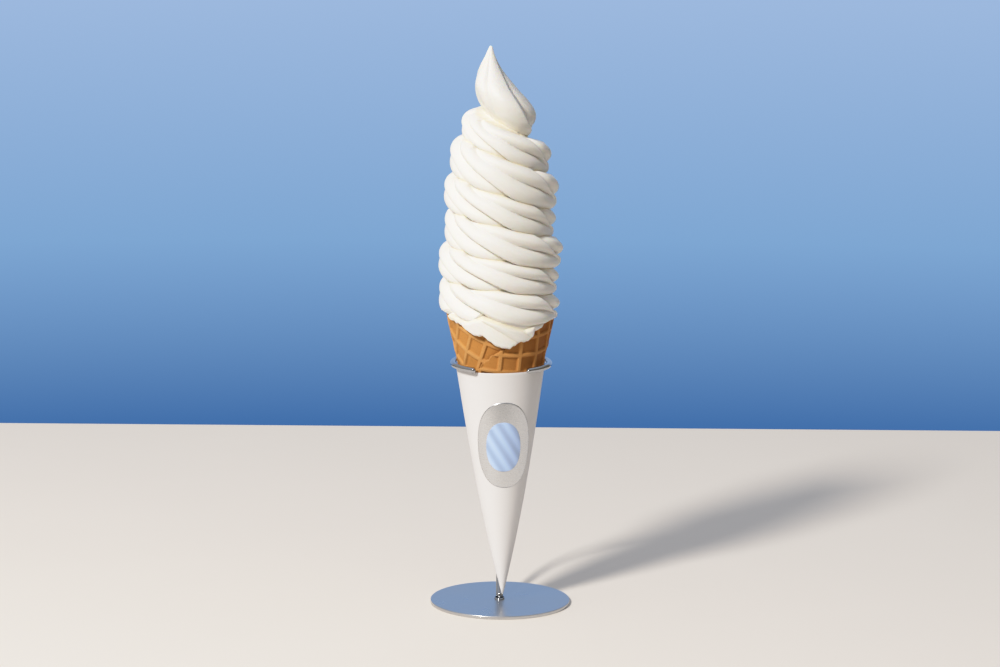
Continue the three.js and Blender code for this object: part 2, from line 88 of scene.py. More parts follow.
# the outer end of the wafer: how far right of the axis, and how high
FLAP_EDGE = [
    (-14, 120.5), (-11.9, 124), (-8.7, 128.5), (-4.9, 131.6), (-0.7, 134.6), (2, 135.4),
    (4.6, 138), (16, 151),
]

SWIRL_FIRST_NOTCH = 146
# how much the notch between two coils rises in each half turn, right to left, then left to right
HALF_TURN_RISES = [4, 4.2, 4.1, 10.6, 8.8, 5.7, 11.9, 3.6, 15.6, 0.2, 17.3, 0.4, 19.5, -2, 15.5, 3.4, 10.4]
# how far the coil reaches out from the axis at each half turn
REACHES = [22.1, 29.4, 30.7, 34.1, 30.1, 34.4, 32.2, 31.3, 28.2, 31.7, 29.6, 28.7, 25.5, 22.5, 13.2, 11.8]
# half of the rope's width, which changes over the last half turns
ROPE_THINS_FROM, ROPE_HALF_WIDTHS = 10, [9.7, 12.4, 12.3, 8.9, 9.1]
ROPE_SQUARENESS = 2.7  # at 2 its section would be an ellipse
# the nozzle's furrows: where each runs (degrees round, degrees up the rope's face) and its depth there
FURROWS = [
    [(109, -88, 2.4), (122, -70, 2.8), (136, -46, 3.3), (147, -27, 3.3), (160, -8, 3), (176, 8, 2.6),
     (190, 24, 2.4), (203, 46, 2.2), (216, 75, 2)],
    [(70, -78, 3.4), (83, -58, 3.6), (100, -34, 3.8), (118, -11, 3.8), (135, 11, 3.6), (148, 28, 3.3),
     (163, 49, 2.8), (180, 75, 2.2)],
    [(-12, -30, 0), (8, -27, 1.2), (25, -13, 3.4), (44, 1, 3.8), (60, 8, 3.7), (75, 17, 3.2), (86, 25, 2.4),
     (97, 32, 1.9), (108, 39, 1.7), (117, 46, 1.6), (126, 58, 1.4), (136, 75, 1.2)],
    [(-50, -75, 3), (-39, -52, 3.2), (-27, -34, 3.4), (-15, -22, 3.6), (-3, -13, 3.9), (9, -4, 4.1),
     (19, 5, 4.3), (27, 16, 4.3), (33, 29, 4.1), (39, 44, 3.8), (45, 60, 3.3), (52, 78, 2.8)],
    [(-95, -75, 3), (-80, -50, 3), (-60, -25, 3), (-40, 0, 3), (-20, 25, 3), (-2, 50, 3), (12, 75, 3)],
    [(-155, -75, 3), (-140, -50, 3), (-120, -25, 3), (-100, 0, 3), (-80, 25, 3), (-60, 50, 3), (-45, 75, 3)],
    [(-205, -75, 3), (-190, -50, 3), (-170, -25, 3), (-150, 0, 3),
     (-130, 25, 3), (-108, 50, 3), (-92, 75, 3)],
]
# how wide the lower and the upper side of each are, as shares of what the settings say
FURROW_SPREADS = ((1, 1), (1, 1), (1, 1.1), (0.6, 1.6), (1, 1), (1, 1), (1, 1))
# the free lower edge of the lowest coil: degrees round since the swirl's start, and height
LOWEST_EDGE = [
    (0, 156), (45, 155.6), (90, 155.2), (135, 155.2), (180, 156.2), (200, 157), (213, 157.2), (225, 156.8),
    (241, 156.2), (252, 157.3), (262, 158.6), (272, 159.9), (282, 161.3), (290, 161.7),
    (293, 161), (299, 158.8), (303, 158.4), (309, 159.1), (316, 159.8), (324, 160.9), (335, 161.8),
    (347, 161), (360, 158.5),
]
SWIRL_START, SWIRL_END = 1, 14.2  # half turns

# height, offset to the right and radius of the peak's tilted rings
PEAK_RINGS = [
    (257, 2.9, 9.5), (262.3, 2.2, 14.2), (267, 1.7, 16.7), (272.5, 0.9, 17.2),
    (277.4, -0.7, 14.9), (281.2, -2.6, 12), (285.1, -4.2, 9), (289, -5.6, 6.2),
    (293, -6.5, 3.8), (297, -6.9, 2), (300.2, -6.9, 0.7),
]
PEAK_TILT = 0.45
# the peak's grooves: depth as a share of the radius, half width on the left and right, and the turn to the
# right at each ring
PEAK_GROOVES = [
    (0.3, 17, 105, (96, 78, 58, 45, 40, 41, 46, 54, 64, 74, 82)),
    (0.08, 10, 34, (-25, -28, -29, -32, -34, -32, -29, -25, -22, -20, -18)),
    (0.12, 20, 40, (-60, -68, -80, -90, -92, -88, -80, -70, -60, -55, -50)),
    (0.16, 20, 40, (160, 152, 140, 128, 122, 120, 124, 130, 138, 144, 148)),
    (0.14, 20, 40, (232, 224, 212, 200, 194, 192, 198, 206, 214, 220, 224)),
]
# the tongue's lower edge: turn to the right of the front (degrees) and how far below the rim it hangs
TONGUE_EDGE = [
    (-63, -0.8), (-57, 0.9), (-53, 0.4), (-49, 2.0), (-45, 1.6), (-37, 4.2), (-31, 5.8), (-25, 7.5),
    (-17, 7.2), (-11, 9.7), (-3, 12.3), (4, 13.2), (10, 13.7), (17, 11.6), (22, 9.7), (31, 9.5), (36, 7.6),
    (39, 4.5), (48, 3.1), (53, 0.6), (60, -0.6), (68, -1.5),
]
# where its thick part begins, in the same way
TONGUE_TOP = [
    (-63, -1.6), (-49, -0.9), (-35, 0.1), (-31, -0.5), (-25, -2.2), (-17, -2.8), (-12, -2), (-2, -0.6),
    (8, 1.2), (19, 2.6), (27, 3.4), (32, 2.3), (39, 1.3), (45, 0.8), (55, -0.6), (68, -2.5),
]
# folds of the tongue: the turn at which each leaves the rim, and its depth
TONGUE_FOLDS = [(-58, 0.6), (-14, 1.3), (9, 0.8), (26, 0.5)]
TONGUE_FOLD_RUN = 3.3  # degrees to the right for each millimetre down
TONGUE_START = 6.5  # how far above the rim it begins, under the coil


# ---------------------------------------------------------------- settings


def number_setting(name, description, default, **kind):
    """A setting in the units that Blender keeps."""
    return bpy.props.FloatProperty(name=name, description=description, default=default, **kind)


def length_setting(name, description, millimetres):
    return number_setting(name, description, millimetres * MM, unit="LENGTH")


def angle_setting(name, description, degrees):
    return number_setting(name, description, radians(degrees), subtype="ANGLE")


def colour_setting(name, description, rgb):
    return bpy.props.FloatVectorProperty(name=name, description=description, default=rgb, subtype="COLOR")


class ConeSettings(bpy.types.PropertyGroup):
    """Sizes and colours of the soft serve cone."""

    disc_radius: length_setting("Disc Radius", "Radius of the flat disc", 37.5)
    disc_thickness: length_setting("Disc Thickness", "Thickness of the disc", 1.8)
    rod_diameter: length_setting("Rod Diameter", "Diameter of the rod", 3.9)
    rod_bow: length_setting("Rod Bow", "How far the rod bows out behind the cone", 46.5)
    ring_wire: length_setting("Ring Wire", "Diameter of the ring's wire", 3.0)
    ring_radius: length_setting("Ring Radius", "Radius of the ring to its wire's middle", 25.7)
    ring_opening: angle_setting("Ring Opening", "Gap at the front of the ring", 70)
    steel_colour: colour_setting("Steel", "Colour of the steel", (0.56, 0.57, 0.59))

    sleeve_length: length_setting("Sleeve Length", "Length of the paper cone", 123.4)
    sleeve_radius: length_setting("Sleeve Radius", "Radius at the sleeve's rim", 23.45)
    sleeve_bulge: length_setting("Sleeve Bulge", "How far the side swells out", 1.75)
    paper_thickness: length_setting("Paper Thickness", "Thickness of the sleeve's card", 0.45)
    paper_colour: colour_setting("Paper", "Colour of the card", (0.80, 0.785, 0.79))
    print_colour: colour_setting("Print", "Colour of the printed patch", (0.42, 0.56, 0.86))

    wafer_layer: length_setting("Wafer Layer", "Thickness of one baked layer", 1.8)
    rib_rise: length_setting("Rib Rise", "Height of the baked ribs", 1.05)
    wafer_pocket_colour: colour_setting("Pockets", "Colour between the ribs", (0.45, 0.175, 0.037))
    wafer_rib_colour: colour_setting("Ribs", "Colour of the ribs", (0.57, 0.27, 0.08))

    rope_overlap: number_setting(
        "Rope Overlap", "How much taller the rope is than the step between coils", 1.126)
    furrow_depth: number_setting(
        "Furrow Depth", "Depth of all furrows, as a share of what the table says", 1.12)
    furrow_above: angle_setting("Furrow Above", "Half width of a furrow's steep upper side", 20)
    furrow_below: angle_setting("Furrow Below", "Half width of a furrow's gentle lower side", 40)
    lump_height: length_setting("Lump Height", "Slight unevenness of the ice", 0.16)
    cream_colour: colour_setting("Soft Serve", "Colour of the soft serve", (0.93, 0.905, 0.85))
    # painted warm shade for the creases, the hollows and the band under the coils, where little light reaches
    crease_shade_colour: colour_setting("Creases", "Colour down in the creases", (0.93, 0.84, 0.66))

    floor_colour: colour_setting("Floor", "Colour of the plain floor", (0.88, 0.81, 0.73))
    backdrop_colour: colour_setting("Backdrop", "Colour of the light from behind", (0.205, 0.38, 0.65))


# ---------------------------------------------------------------- helpers


def through(values, at):
    """A smooth curve through values that are given at 0, 1, 2, ..."""
    values, at = np.asarray(values, float), np.asarray(at, float)
    i = np.clip(np.floor(at).astype(int), 0, len(values) - 2)
    f = at - i
    a, b, c, d = (values[np.clip(i + k, 0, len(values) - 1)] for k in (-1, 0, 1, 2))
    return b + 0.5 * f * (c - a + f * (2 * a - 5 * b + 4 * c - d + f * (3 * (b - c) + d - a)))


def in_place(points):
    """Millimetres from the disc's middle to metres in the part's frame."""
    return np.asarray(points, float) * MM + DISC_CENTRE


def cone_turn():
    """The rotation of the leaning cone's axis."""
    axis = Vector(CONE_AT_RING - CONE_TIP).normalized()
    return np.array(Vector((0, 0, 1)).rotation_difference(axis).to_matrix())


def onto_cone(points):
    """Puts points that stand on the cone's tip at the origin onto its leaning axis."""
    return np.asarray(points) @ cone_turn().T + CONE_TIP


def grid(columns, rows, wrap=False):
    """Faces of a grid of columns by rows of points, column by column."""
    ids = np.arange(columns * rows).reshape(columns, rows)
    if wrap:
        ids = np.vstack([ids, ids[:1]])
    return quads(ids)


def quads(ids):
    """Faces between the neighbouring points of a grid of point numbers."""
    corners = ids[:-1, :-1], ids[1:, :-1], ids[1:, 1:], ids[:-1, 1:]
    return np.stack(corners, -1).reshape(-1, 4)


def closed_grid(columns, rows):
    """Faces of a grid that closes round, with its ends closed by fans to the two points after its own."""
    first = np.arange(columns) * rows
    last, low, high = first + rows - 1, columns * rows, columns * rows + 1
    bottom = np.stack([np.full(columns, low), np.roll(first, -1), first], -1)
    top = np.stack([np.full(columns, high), last, np.roll(last, -1)], -1)
    return [grid(columns, rows, wrap=True), bottom, top]


def around_axis(r, turn, h):
    """Points by distance from the axis, turn from the front to the right, and height."""
    return np.stack([r * np.sin(turn), -r * np.cos(turn), h], -1)


def new_object(name, data):
    """An object at the origin, linked to the scene."""
    thing = bpy.data.objects.new(name, data)
    bpy.context.scene.collection.objects.link(thing)
    return thing


def make_piece(name, points, faces, attributes=None):
    """A mesh object at the origin, with unused points left out."""
    faces = [np.asarray(f) for f in faces]
    used = np.unique(np.concatenate([f.ravel() for f in faces]))
    place = np.full(len(points), -1)
    place[used] = np.arange(len(used))
    mesh = bpy.data.meshes.new(name)
    mesh.from_pydata(in_place(points)[used].tolist(), [], [row for f in faces for row in place[f].tolist()])
    for key, values in (attributes or {}).items():
        values = np.asarray(values, np.float32)[used]
        kind = "FLOAT" if values.ndim == 1 else "FLOAT_VECTOR"
        attribute = mesh.attributes.new(key, kind, "POINT")
        attribute.data.foreach_set("value" if values.ndim == 1 else "vector", values.ravel())
    mesh.validate()
    mesh.shade_smooth()
    return new_object(name, mesh)


def finish_piece(piece, material, slot, *nodes):
    """Gives a piece its finish, and lets it stand for its nodes of the frame."""
    piece.data.materials.clear()
    piece.data.materials.append(material)
    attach(piece, "root")
    if nodes:
        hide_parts(*nodes)


class Tree:
    """Builds a node tree link by link."""

    def __init__(self, tree):
        self.tree = tree

    def add(self, kind, *values, out=0, **settings):
        node = self.tree.nodes.new(kind)
        named = {key: settings.pop(key) for key in list(settings) if not hasattr(node, key)}
        for key, value in settings.items():
            setattr(node, key, value)
        for socket, value in list(zip(node.inputs, values)):
            self.feed(socket, value)
        for key, value in named.items():
            self.feed(node.inputs[key.replace("_", " ")], value)
        return node.outputs[out] if out is not None else node

    def feed(self, socket, value):
        if isinstance(value, bpy.types.NodeSocket):
            self.tree.links.new(value, socket)
        else:
            socket.default_value = value

    def math(self, operation, *values):
        return self.add("ShaderNodeMath", *values, operation=operation)

    def vector(self, operation, *values):
        node = self.add("ShaderNodeVectorMath", operation=operation, out=None)
        for socket, value in zip(node.inputs, values):
            self.feed(socket, value)
        return node.outputs[0]

    def scaled(self, vector, factor):
        node = self.add("ShaderNodeVectorMath", vector, operation="SCALE", out=None)
        self.feed(node.inputs["Scale"], factor)
        return node.outputs[0]

    def noise(self, vector, scale, detail=2.0, roughness=0.5, w=None):
        node = self.add("ShaderNodeTexNoise", noise_dimensions="4D" if w is not None else "3D", out=None)
        self.feed(node.inputs["Vector"], vector)
        node.inputs["Scale"].default_value = scale
        node.inputs["Detail"].default_value = detail
        node.inputs["Roughness"].default_value = roughness
        if w is not None:
            node.inputs["W"].default_value = w
        return node.outputs[0]

    def span(self, value, low, high, to_low=0.0, to_high=1.0, smooth=False):
        node = self.add("ShaderNodeMapRange", out=None)
        node.interpolation_type = "SMOOTHSTEP" if smooth else "LINEAR"
        for key, number in (("Value", value), ("From Min", low), ("From Max", high), ("To Min", to_low),
                            ("To Max", to_high)):
            self.feed(node.inputs[key], number)
        return node.outputs[0]

    def mix(self, factor, a, b):
        node = self.add("ShaderNodeMix", data_type="RGBA", out=None)
        self.feed(node.inputs[0], factor)
        self.feed(node.inputs[6], a)
        self.feed(node.inputs[7], b)
        return node.outputs[2]

    def field(self, name):
        """What the mesh holds under a name, as a shader reads it."""
        return self.add("ShaderNodeAttribute", attribute_name=name, out=None).outputs["Fac"]

    def shades(self, factor, rgb, low, high):
        """From a darker to a lighter shade of one colour."""
        return self.mix(factor, colour(rgb, low), colour(rgb, high))


class Shape(Tree):
    """A Geometry Nodes tree with named inputs, which ends in Realize Instances and Set Material."""

    def __init__(self, name, **inputs):
        super().__init__(bpy.data.node_groups.new(name, "GeometryNodeTree"))
        face = self.tree.interface
        face.new_socket(name="Geometry", in_out="INPUT", socket_type="NodeSocketGeometry")
        face.new_socket(name="Geometry", in_out="OUTPUT", socket_type="NodeSocketGeometry")
        for key, value in inputs.items():
            kind = "NodeSocketInt" if isinstance(value, int) else "NodeSocketFloat"
            socket = face.new_socket(name=key.replace("_", " "), in_out="INPUT", socket_type=kind)
            socket.default_value = value
        face.new_socket(name="Material", in_out="INPUT", socket_type="NodeSocketMaterial")
        self.entry = self.tree.nodes.new("NodeGroupInput")

    def given(self, name):
        return self.entry.outputs[name]

    def attribute(self, name, kind="FLOAT"):
        return self.add("GeometryNodeInputNamedAttribute", name, data_type=kind)

    def store(self, geometry, name, value):
        node = self.add("GeometryNodeStoreNamedAttribute", data_type="FLOAT", domain="POINT", out=None)
        self.feed(node.inputs["Geometry"], geometry)
        self.feed(node.inputs["Name"], name)
        self.feed([s for s in node.inputs if s.name == "Value" and s.enabled][0], value)
        return node.outputs[0]

    def shift(self, geometry, offset):
        node = self.add("GeometryNodeSetPosition", geometry, out=None)
        self.feed(node.inputs["Offset"], offset)
        return node.outputs[0]

    def close(self, geometry):
        geometry = self.add("GeometryNodeRealizeInstances", geometry)
        geometry = self.add("GeometryNodeSetMaterial", geometry, Material=self.given("Material"))
        exit_node = self.tree.nodes.new("NodeGroupOutput")
        self.tree.links.new(geometry, exit_node.inputs[0])


def grow(piece, shape, material, **values):
    """Runs a Geometry Nodes tree on a piece and keeps the result as a plain mesh."""
    modifier = piece.modifiers.new("Shape", "NODES")
    modifier.node_group = shape.tree
    for item in shape.tree.interface.items_tree:
        key = item.name.replace(" ", "_")
        if item.in_out == "INPUT" and key in values:
            modifier[item.identifier] = values[key]
        elif item.in_out == "INPUT" and item.name == "Material":
            modifier[item.identifier] = material
    evaluated = piece.evaluated_get(bpy.context.evaluated_depsgraph_get())
    mesh = bpy.data.meshes.new_from_object(evaluated)
    piece.modifiers.clear()
    piece.data = mesh
    mesh.name = piece.name
    mesh.shade_smooth()
    return piece


def surface(name, **uniform):
    """A material with one Principled shader, its tree, that shader and the place on the piece."""
    material = bpy.data.materials.new(name)
    material.use_nodes = True
    tree = Tree(material.node_tree)
    shader = next(n for n in tree.tree.nodes if n.type == "BSDF_PRINCIPLED")
    for key, value in uniform.items():
        shader.inputs[key.replace("_", " ")].default_value = value
    place = tree.add("ShaderNodeTexCoord", out=None).outputs["Object"]
    return material, tree, shader, place


def bump(tree, shader, height, distance, strength=1.0):
    node = tree.add("ShaderNodeBump", out=None)
    tree.feed(node.inputs["Height"], height)
    node.inputs["Distance"].default_value = distance
    node.inputs["Strength"].default_value = strength
    tree.feed(shader.inputs["Normal"], node.outputs[0])


def colour(rgb, factor=1.0):
    return (rgb[0] * factor, rgb[1] * factor, rgb[2] * factor, 1.0)


# ---------------------------------------------------------------- finishes


def satin_steel(settings):
    """Satin sheet steel, with a fine grain and faint smears."""
    material, tree, shader, place = surface("satin_steel", Metallic=1.0)
    smear = tree.noise(place, 38, 3)
    grain = tree.noise(place, 2600, 2)
    tree.feed(shader.inputs["Roughness"], tree.span(smear, 0.3, 0.7, 0.26, 0.34))
    tree.feed(shader.inputs["Base Color"], tree.shades(smear, settings.steel_colour, 0.95, 1.05))
    bump(tree, shader, grain, 0.00001, 0.5)
    return material


def bright_steel(settings):
    """Polished wire, with a slightly duller film in places."""
    material, tree, shader, place = surface("bright_steel", Metallic=1.0)
    film = tree.noise(place, 160, 3)
    tree.feed(shader.inputs["Roughness"], tree.span(film, 0.35, 0.7, 0.03, 0.08))
    tree.feed(shader.inputs["Base Color"], tree.shades(film, settings.steel_colour, 0.8, 0.95))
    bump(tree, shader, tree.noise(place, 900, 2), 0.00001, 0.3)
    return material


def card(settings):
    """Smooth white card with a hint of fibre."""
    material, tree, shader, place = surface("sleeve_card", Roughness=0.55, Specular_IOR_Level=0.35)
    cloud = tree.noise(place, 60, 4)
    tree.feed(shader.inputs["Base Color"], tree.shades(cloud, settings.paper_colour, 0.97, 1.02))
    fibre = tree.noise(place, 1900, 4, 0.6)
    bump(tree, shader, fibre, 0.00003, 0.35)
    return material


def baked_wafer(settings):
    """Golden baked wafer: paler ribs and edges, toasted pockets, a fine crumb, and painted shade that darkens
    it towards the right.
    """
    material, tree, shader, place = surface("baked_wafer", Roughness=0.68, Specular_IOR_Level=0.18)
    rib = tree.field("rib")
    edge = tree.field("edge")
    toast = tree.noise(place, 120, 3)
    x = tree.add("ShaderNodeSeparateXYZ", place, out=None).outputs[0]
    shade_to_right = tree.span(x, -0.02, 0.024)  # painted shade: from the lit left side to the darker, shaded right side
    crumb = tree.noise(place, 1500, 4, 0.65)
    pocket = tree.shades(tree.span(toast, 0.3, 0.7), settings.wafer_pocket_colour, 0.85, 1.12)
    ridge = tree.shades(tree.span(toast, 0.3, 0.7), settings.wafer_rib_colour, 0.9, 1.06)
    # lit and shaded copies of the pocket and rib colours, mixed by the painted shade
    pale, dark = tree.mix(0.5, pocket, (0.72, 0.36, 0.10, 1)), tree.mix(0.5, pocket, (0.20, 0.05, 0.006, 1))
    pocket = tree.mix(shade_to_right, pale, dark)
    pale, dark = tree.mix(0.3, ridge, (0.86, 0.50, 0.18, 1)), tree.mix(0.35, ridge, (0.42, 0.13, 0.02, 1))
    ridge = tree.mix(shade_to_right, pale, dark)
    body = tree.mix(rib, pocket, ridge)
    body = tree.mix(tree.span(crumb, 0.52, 0.7, 0, 0.35), body, colour(settings.wafer_pocket_colour, 0.55))
    body = tree.mix(edge, body, colour(settings.wafer_rib_colour, 0.95))
    tree.feed(shader.inputs["Base Color"], body)
    bump(tree, shader, crumb, 0.00012, 0.7)
    return material


def milk_ice(settings):
    """Soft serve: light scatters inside it, warm shade is painted into its creases and hollows, and its skin
    has a fine moist grain.
    """
    material, tree, shader, place = surface(
        "milk_ice", Roughness=0.42, Specular_IOR_Level=0.35, Subsurface_Weight=0.25, Subsurface_Scale=0.0016)
    shader.inputs["Subsurface Radius"].default_value = (1.0, 0.65, 0.38)
    cloud = tree.noise(place, 70, 3)
    body = tree.shades(cloud, settings.cream_colour, 0.985, 1.01)
    # painted shade: the crease field pulls the cream towards the warm crease shade
    painted_shade = tree.field("crease")
    body = tree.mix(tree.span(painted_shade, 0.15, 1.1), body, colour(settings.crease_shade_colour))
    tree.feed(shader.inputs["Base Color"], body)
    grain = tree.noise(place, 950, 4, 0.65)
    bump(tree, shader, grain, 0.00034, 0.8)
    return material


def foil():
    """Brushed silver foil, with the grain across it."""
    material, tree, shader, place = surface("silver_foil", Metallic=1.0)
    stretched = tree.vector("MULTIPLY", place, (260, 260, 4200))
    grain = tree.noise(stretched, 1.0, 2)
    tree.feed(shader.inputs["Roughness"], tree.span(grain, 0.3, 0.7, 0.24, 0.36))
    tree.feed(shader.inputs["Base Color"], tree.mix(grain, (0.66, 0.68, 0.71, 1), (0.78, 0.79, 0.81, 1)))
    bump(tree, shader, grain, 0.00001, 0.4)
    return material


def printed_ink(settings):
    """Pale blue printing with a soft shade from band to band."""
    material, tree, shader, place = surface("blue_ink", Roughness=0.5, Specular_IOR_Level=0.3)
    band = tree.field("band")
    mottle = tree.noise(place, 1400, 2)
    ink = tree.shades(band, settings.print_colour, 0.9, 1.25)
    ink = tree.mix(tree.span(mottle, 0.3, 0.7, 0, 0.06), ink, (0.8, 0.85, 0.95, 1))
    tree.feed(shader.inputs["Base Color"], ink)
    return material


# ---------------------------------------------------------------- stand


def lathe(profile, segments):
    """Points and faces of a body of revolution about +Z; the profile starts and ends on the axis."""
    profile = np.asarray(profile, float)
    turns = np.linspace(0, 2 * pi, segments, endpoint=False)
    r, z = profile[1:-1, 0], profile[1:-1, 1]
    points = np.stack([np.outer(np.cos(turns), r), np.outer(np.sin(turns), r), np.tile(z, (segments, 1))], -1)
    points = np.vstack([points.reshape(-1, 3), [[0, 0, profile[0, 1]], [0, 0, profile[-1, 1]]]])
    return points, closed_grid(segments, len(r))


def wire_shape():
    """Sweeps a round section along a line of points, as thick at each point as its attribute says."""
    shape = Shape("wire_along_path", Sides=24)
    line = shape.add("GeometryNodeMeshToCurve", shape.given("Geometry"))
    thick = shape.attribute("thick")
    profile = shape.add("GeometryNodeCurvePrimitiveCircle", out=None)
    shape.feed(profile.inputs["Resolution"], shape.given("Sides"))
    profile.inputs["Radius"].default_value = 1.0
    line = shape.add("GeometryNodeSetCurveRadius", line, Radius=thick)
    sweep = shape.add("GeometryNodeCurveToMesh", line, profile.outputs[0], out=None)
    sweep.inputs["Fill Caps"].default_value = True
    for socket in sweep.inputs:
        if socket.name == "Scale":
            shape.feed(socket, thick)
    shape.close(sweep.outputs[0])
    return shape


def wire(name, line, radius, material):
    """A wire along a fine line of points, with its two ends domed."""
    line = np.asarray(line, float)
    steps = np.linalg.norm(np.diff(line, axis=0), axis=1)
    along = np.concatenate([[0], np.cumsum(steps)])
    to_end = np.minimum(along, along[-1] - along)
    thick = radius * np.sqrt(np.clip(1 - (1 - np.clip(to_end / radius, 0, 1)) ** 2, 0.0004, 1))
    mesh = bpy.data.meshes.new(name)
    mesh.from_pydata(in_place(line).tolist(), [(i, i + 1) for i in range(len(line) - 1)], [])
    mesh.attributes.new("thick", "FLOAT", "POINT").data.foreach_set("value", (thick * MM).astype(np.float32))
    return grow(new_object(name, mesh), wire_shape(), material, Sides=28)


class MakeDisc(bpy.types.Operator):
    """Make the flat satin disc with its eased edge"""

    bl_idname = "soft_serve.make_disc"
    bl_label = "Make Disc"

    def execute(self, context):
        s = context.scene.soft_serve
        radius, thick, ease = s.disc_radius / MM, s.disc_thickness / MM, 0.3
        bends = np.linspace(pi / 2, 0, 6)
        edge = [(radius - ease + ease * sin(a), thick - ease + ease * cos(a)) for a in bends]
        flat = [(radius - 1.2, thick), (radius * 0.5, thick), (0, thick)]
        profile = [(0, 0), (radius - 0.1, 0), (radius, 0.1), *edge, *flat]
        points, faces = lathe(profile, 192)
        piece = make_piece("base_disc", points, faces)
        finish_piece(piece, satin_steel(s), "satin_steel", "stand_disc")
        return {"FINISHED"}


class MakeRodAndRing(bpy.types.Operator):
    """Make the bowed rod with its weld and the open ring that it carries"""

    bl_idname = "soft_serve.make_rod_and_ring"
    bl_label = "Make Rod and Ring"

    def execute(self, context):
        s = context.scene.soft_serve
        steel = bright_steel(s)
        bow, radius, wire_radius = s.rod_bow / MM, s.rod_diameter / MM / 2, s.ring_wire / MM / 2
        ring_radius = s.ring_radius / MM
        back = RING_Y + ring_radius + wire_radius + radius - ROD_IN_RING
        stations = [(1, 2.2), *((share * bow, z) for share, z in ROD_PATH), (back, RING_HEIGHT - 1.5)]
        at = np.linspace(0, len(stations) - 1, 160)
        y, z = through([p[0] for p in stations], at), through([p[1] for p in stations], at)
        line = np.stack([np.full(len(at), ROD_X), y, z], -1)
        last = line[-1] - line[-2]
        dome = np.linspace(0.15, radius, 8)[:, None] * last / np.linalg.norm(last)
        rod = wire("bowed_rod", np.vstack([line, line[-1] + dome]), radius, steel)
        finish_piece(rod, steel, "rod_steel", "stand_rod")
        half = s.ring_opening / 2
        overrun = wire_radius / ring_radius
        turns = np.linspace(-pi / 2 + half - overrun, 3 * pi / 2 - half + overrun, 220)
        ends = np.linspace(0, 3 * overrun, 14)
        turns = np.unique(np.concatenate([turns, turns[0] + ends, turns[-1] - ends]))
        line = np.stack([RING_X + ring_radius * np.cos(turns), RING_Y + ring_radius * np.sin(turns),
                         np.full(len(turns), RING_HEIGHT)], -1)
        ring = wire("open_ring", line, wire_radius, steel)
        finish_piece(ring, steel, "bright_steel", "stand_ring")
        finish_piece(self.weld(radius), steel, "rod_steel")
        return {"FINISHED"}

    @staticmethod
    def weld(radius):
        """The low, rippled bead round the rod's foot."""
        count, rows = 72, 11
        turns = np.linspace(0, 2 * pi, count, endpoint=False)
        across = np.linspace(0, pi, rows)
        ripple = 1 + 0.07 * np.sin(13 * turns)[:, None]
        out = radius * (1.02 + 0.42 * (0.5 + 0.5 * np.cos(across)))[None, :] * np.ones((count, 1))
        height = 1.75 + 0.95 * np.sin(across)[None, :] ** 0.9 * ripple
        x, y = out * np.cos(turns)[:, None], out * np.sin(turns)[:, None] * 1.4
        points = np.stack([x + ROD_X, y + 0.5, height], -1).reshape(-1, 3)
        inner = np.arange(count) * rows
        near = np.roll(inner, -1)
        under = np.stack([inner, near, near + rows - 1, inner + rows - 1], -1)[:, ::-1]
        return make_piece("foot_weld", points, [grid(count, rows, wrap=True), under])


# ---------------------------------------------------------------- sleeve


def sleeve_radius(h, s):
    """Radius of the sleeve's outside at a distance from its tip, in millimetres."""
    f = np.clip(np.asarray(h, float) / (s.sleeve_length / MM), 0, 1)
    rim = s.sleeve_radius / MM
    return SLEEVE_TIP_RADIUS + (rim - SLEEVE_TIP_RADIUS) * f + s.sleeve_bulge / MM * np.sin(pi * f ** 0.85)


def on_sleeve(turn, h, lift, s):
    """Points on the sleeve by turn from the front, distance from the tip and lift above the card."""
    return onto_cone(around_axis(sleeve_radius(h, s) + lift, turn, h))


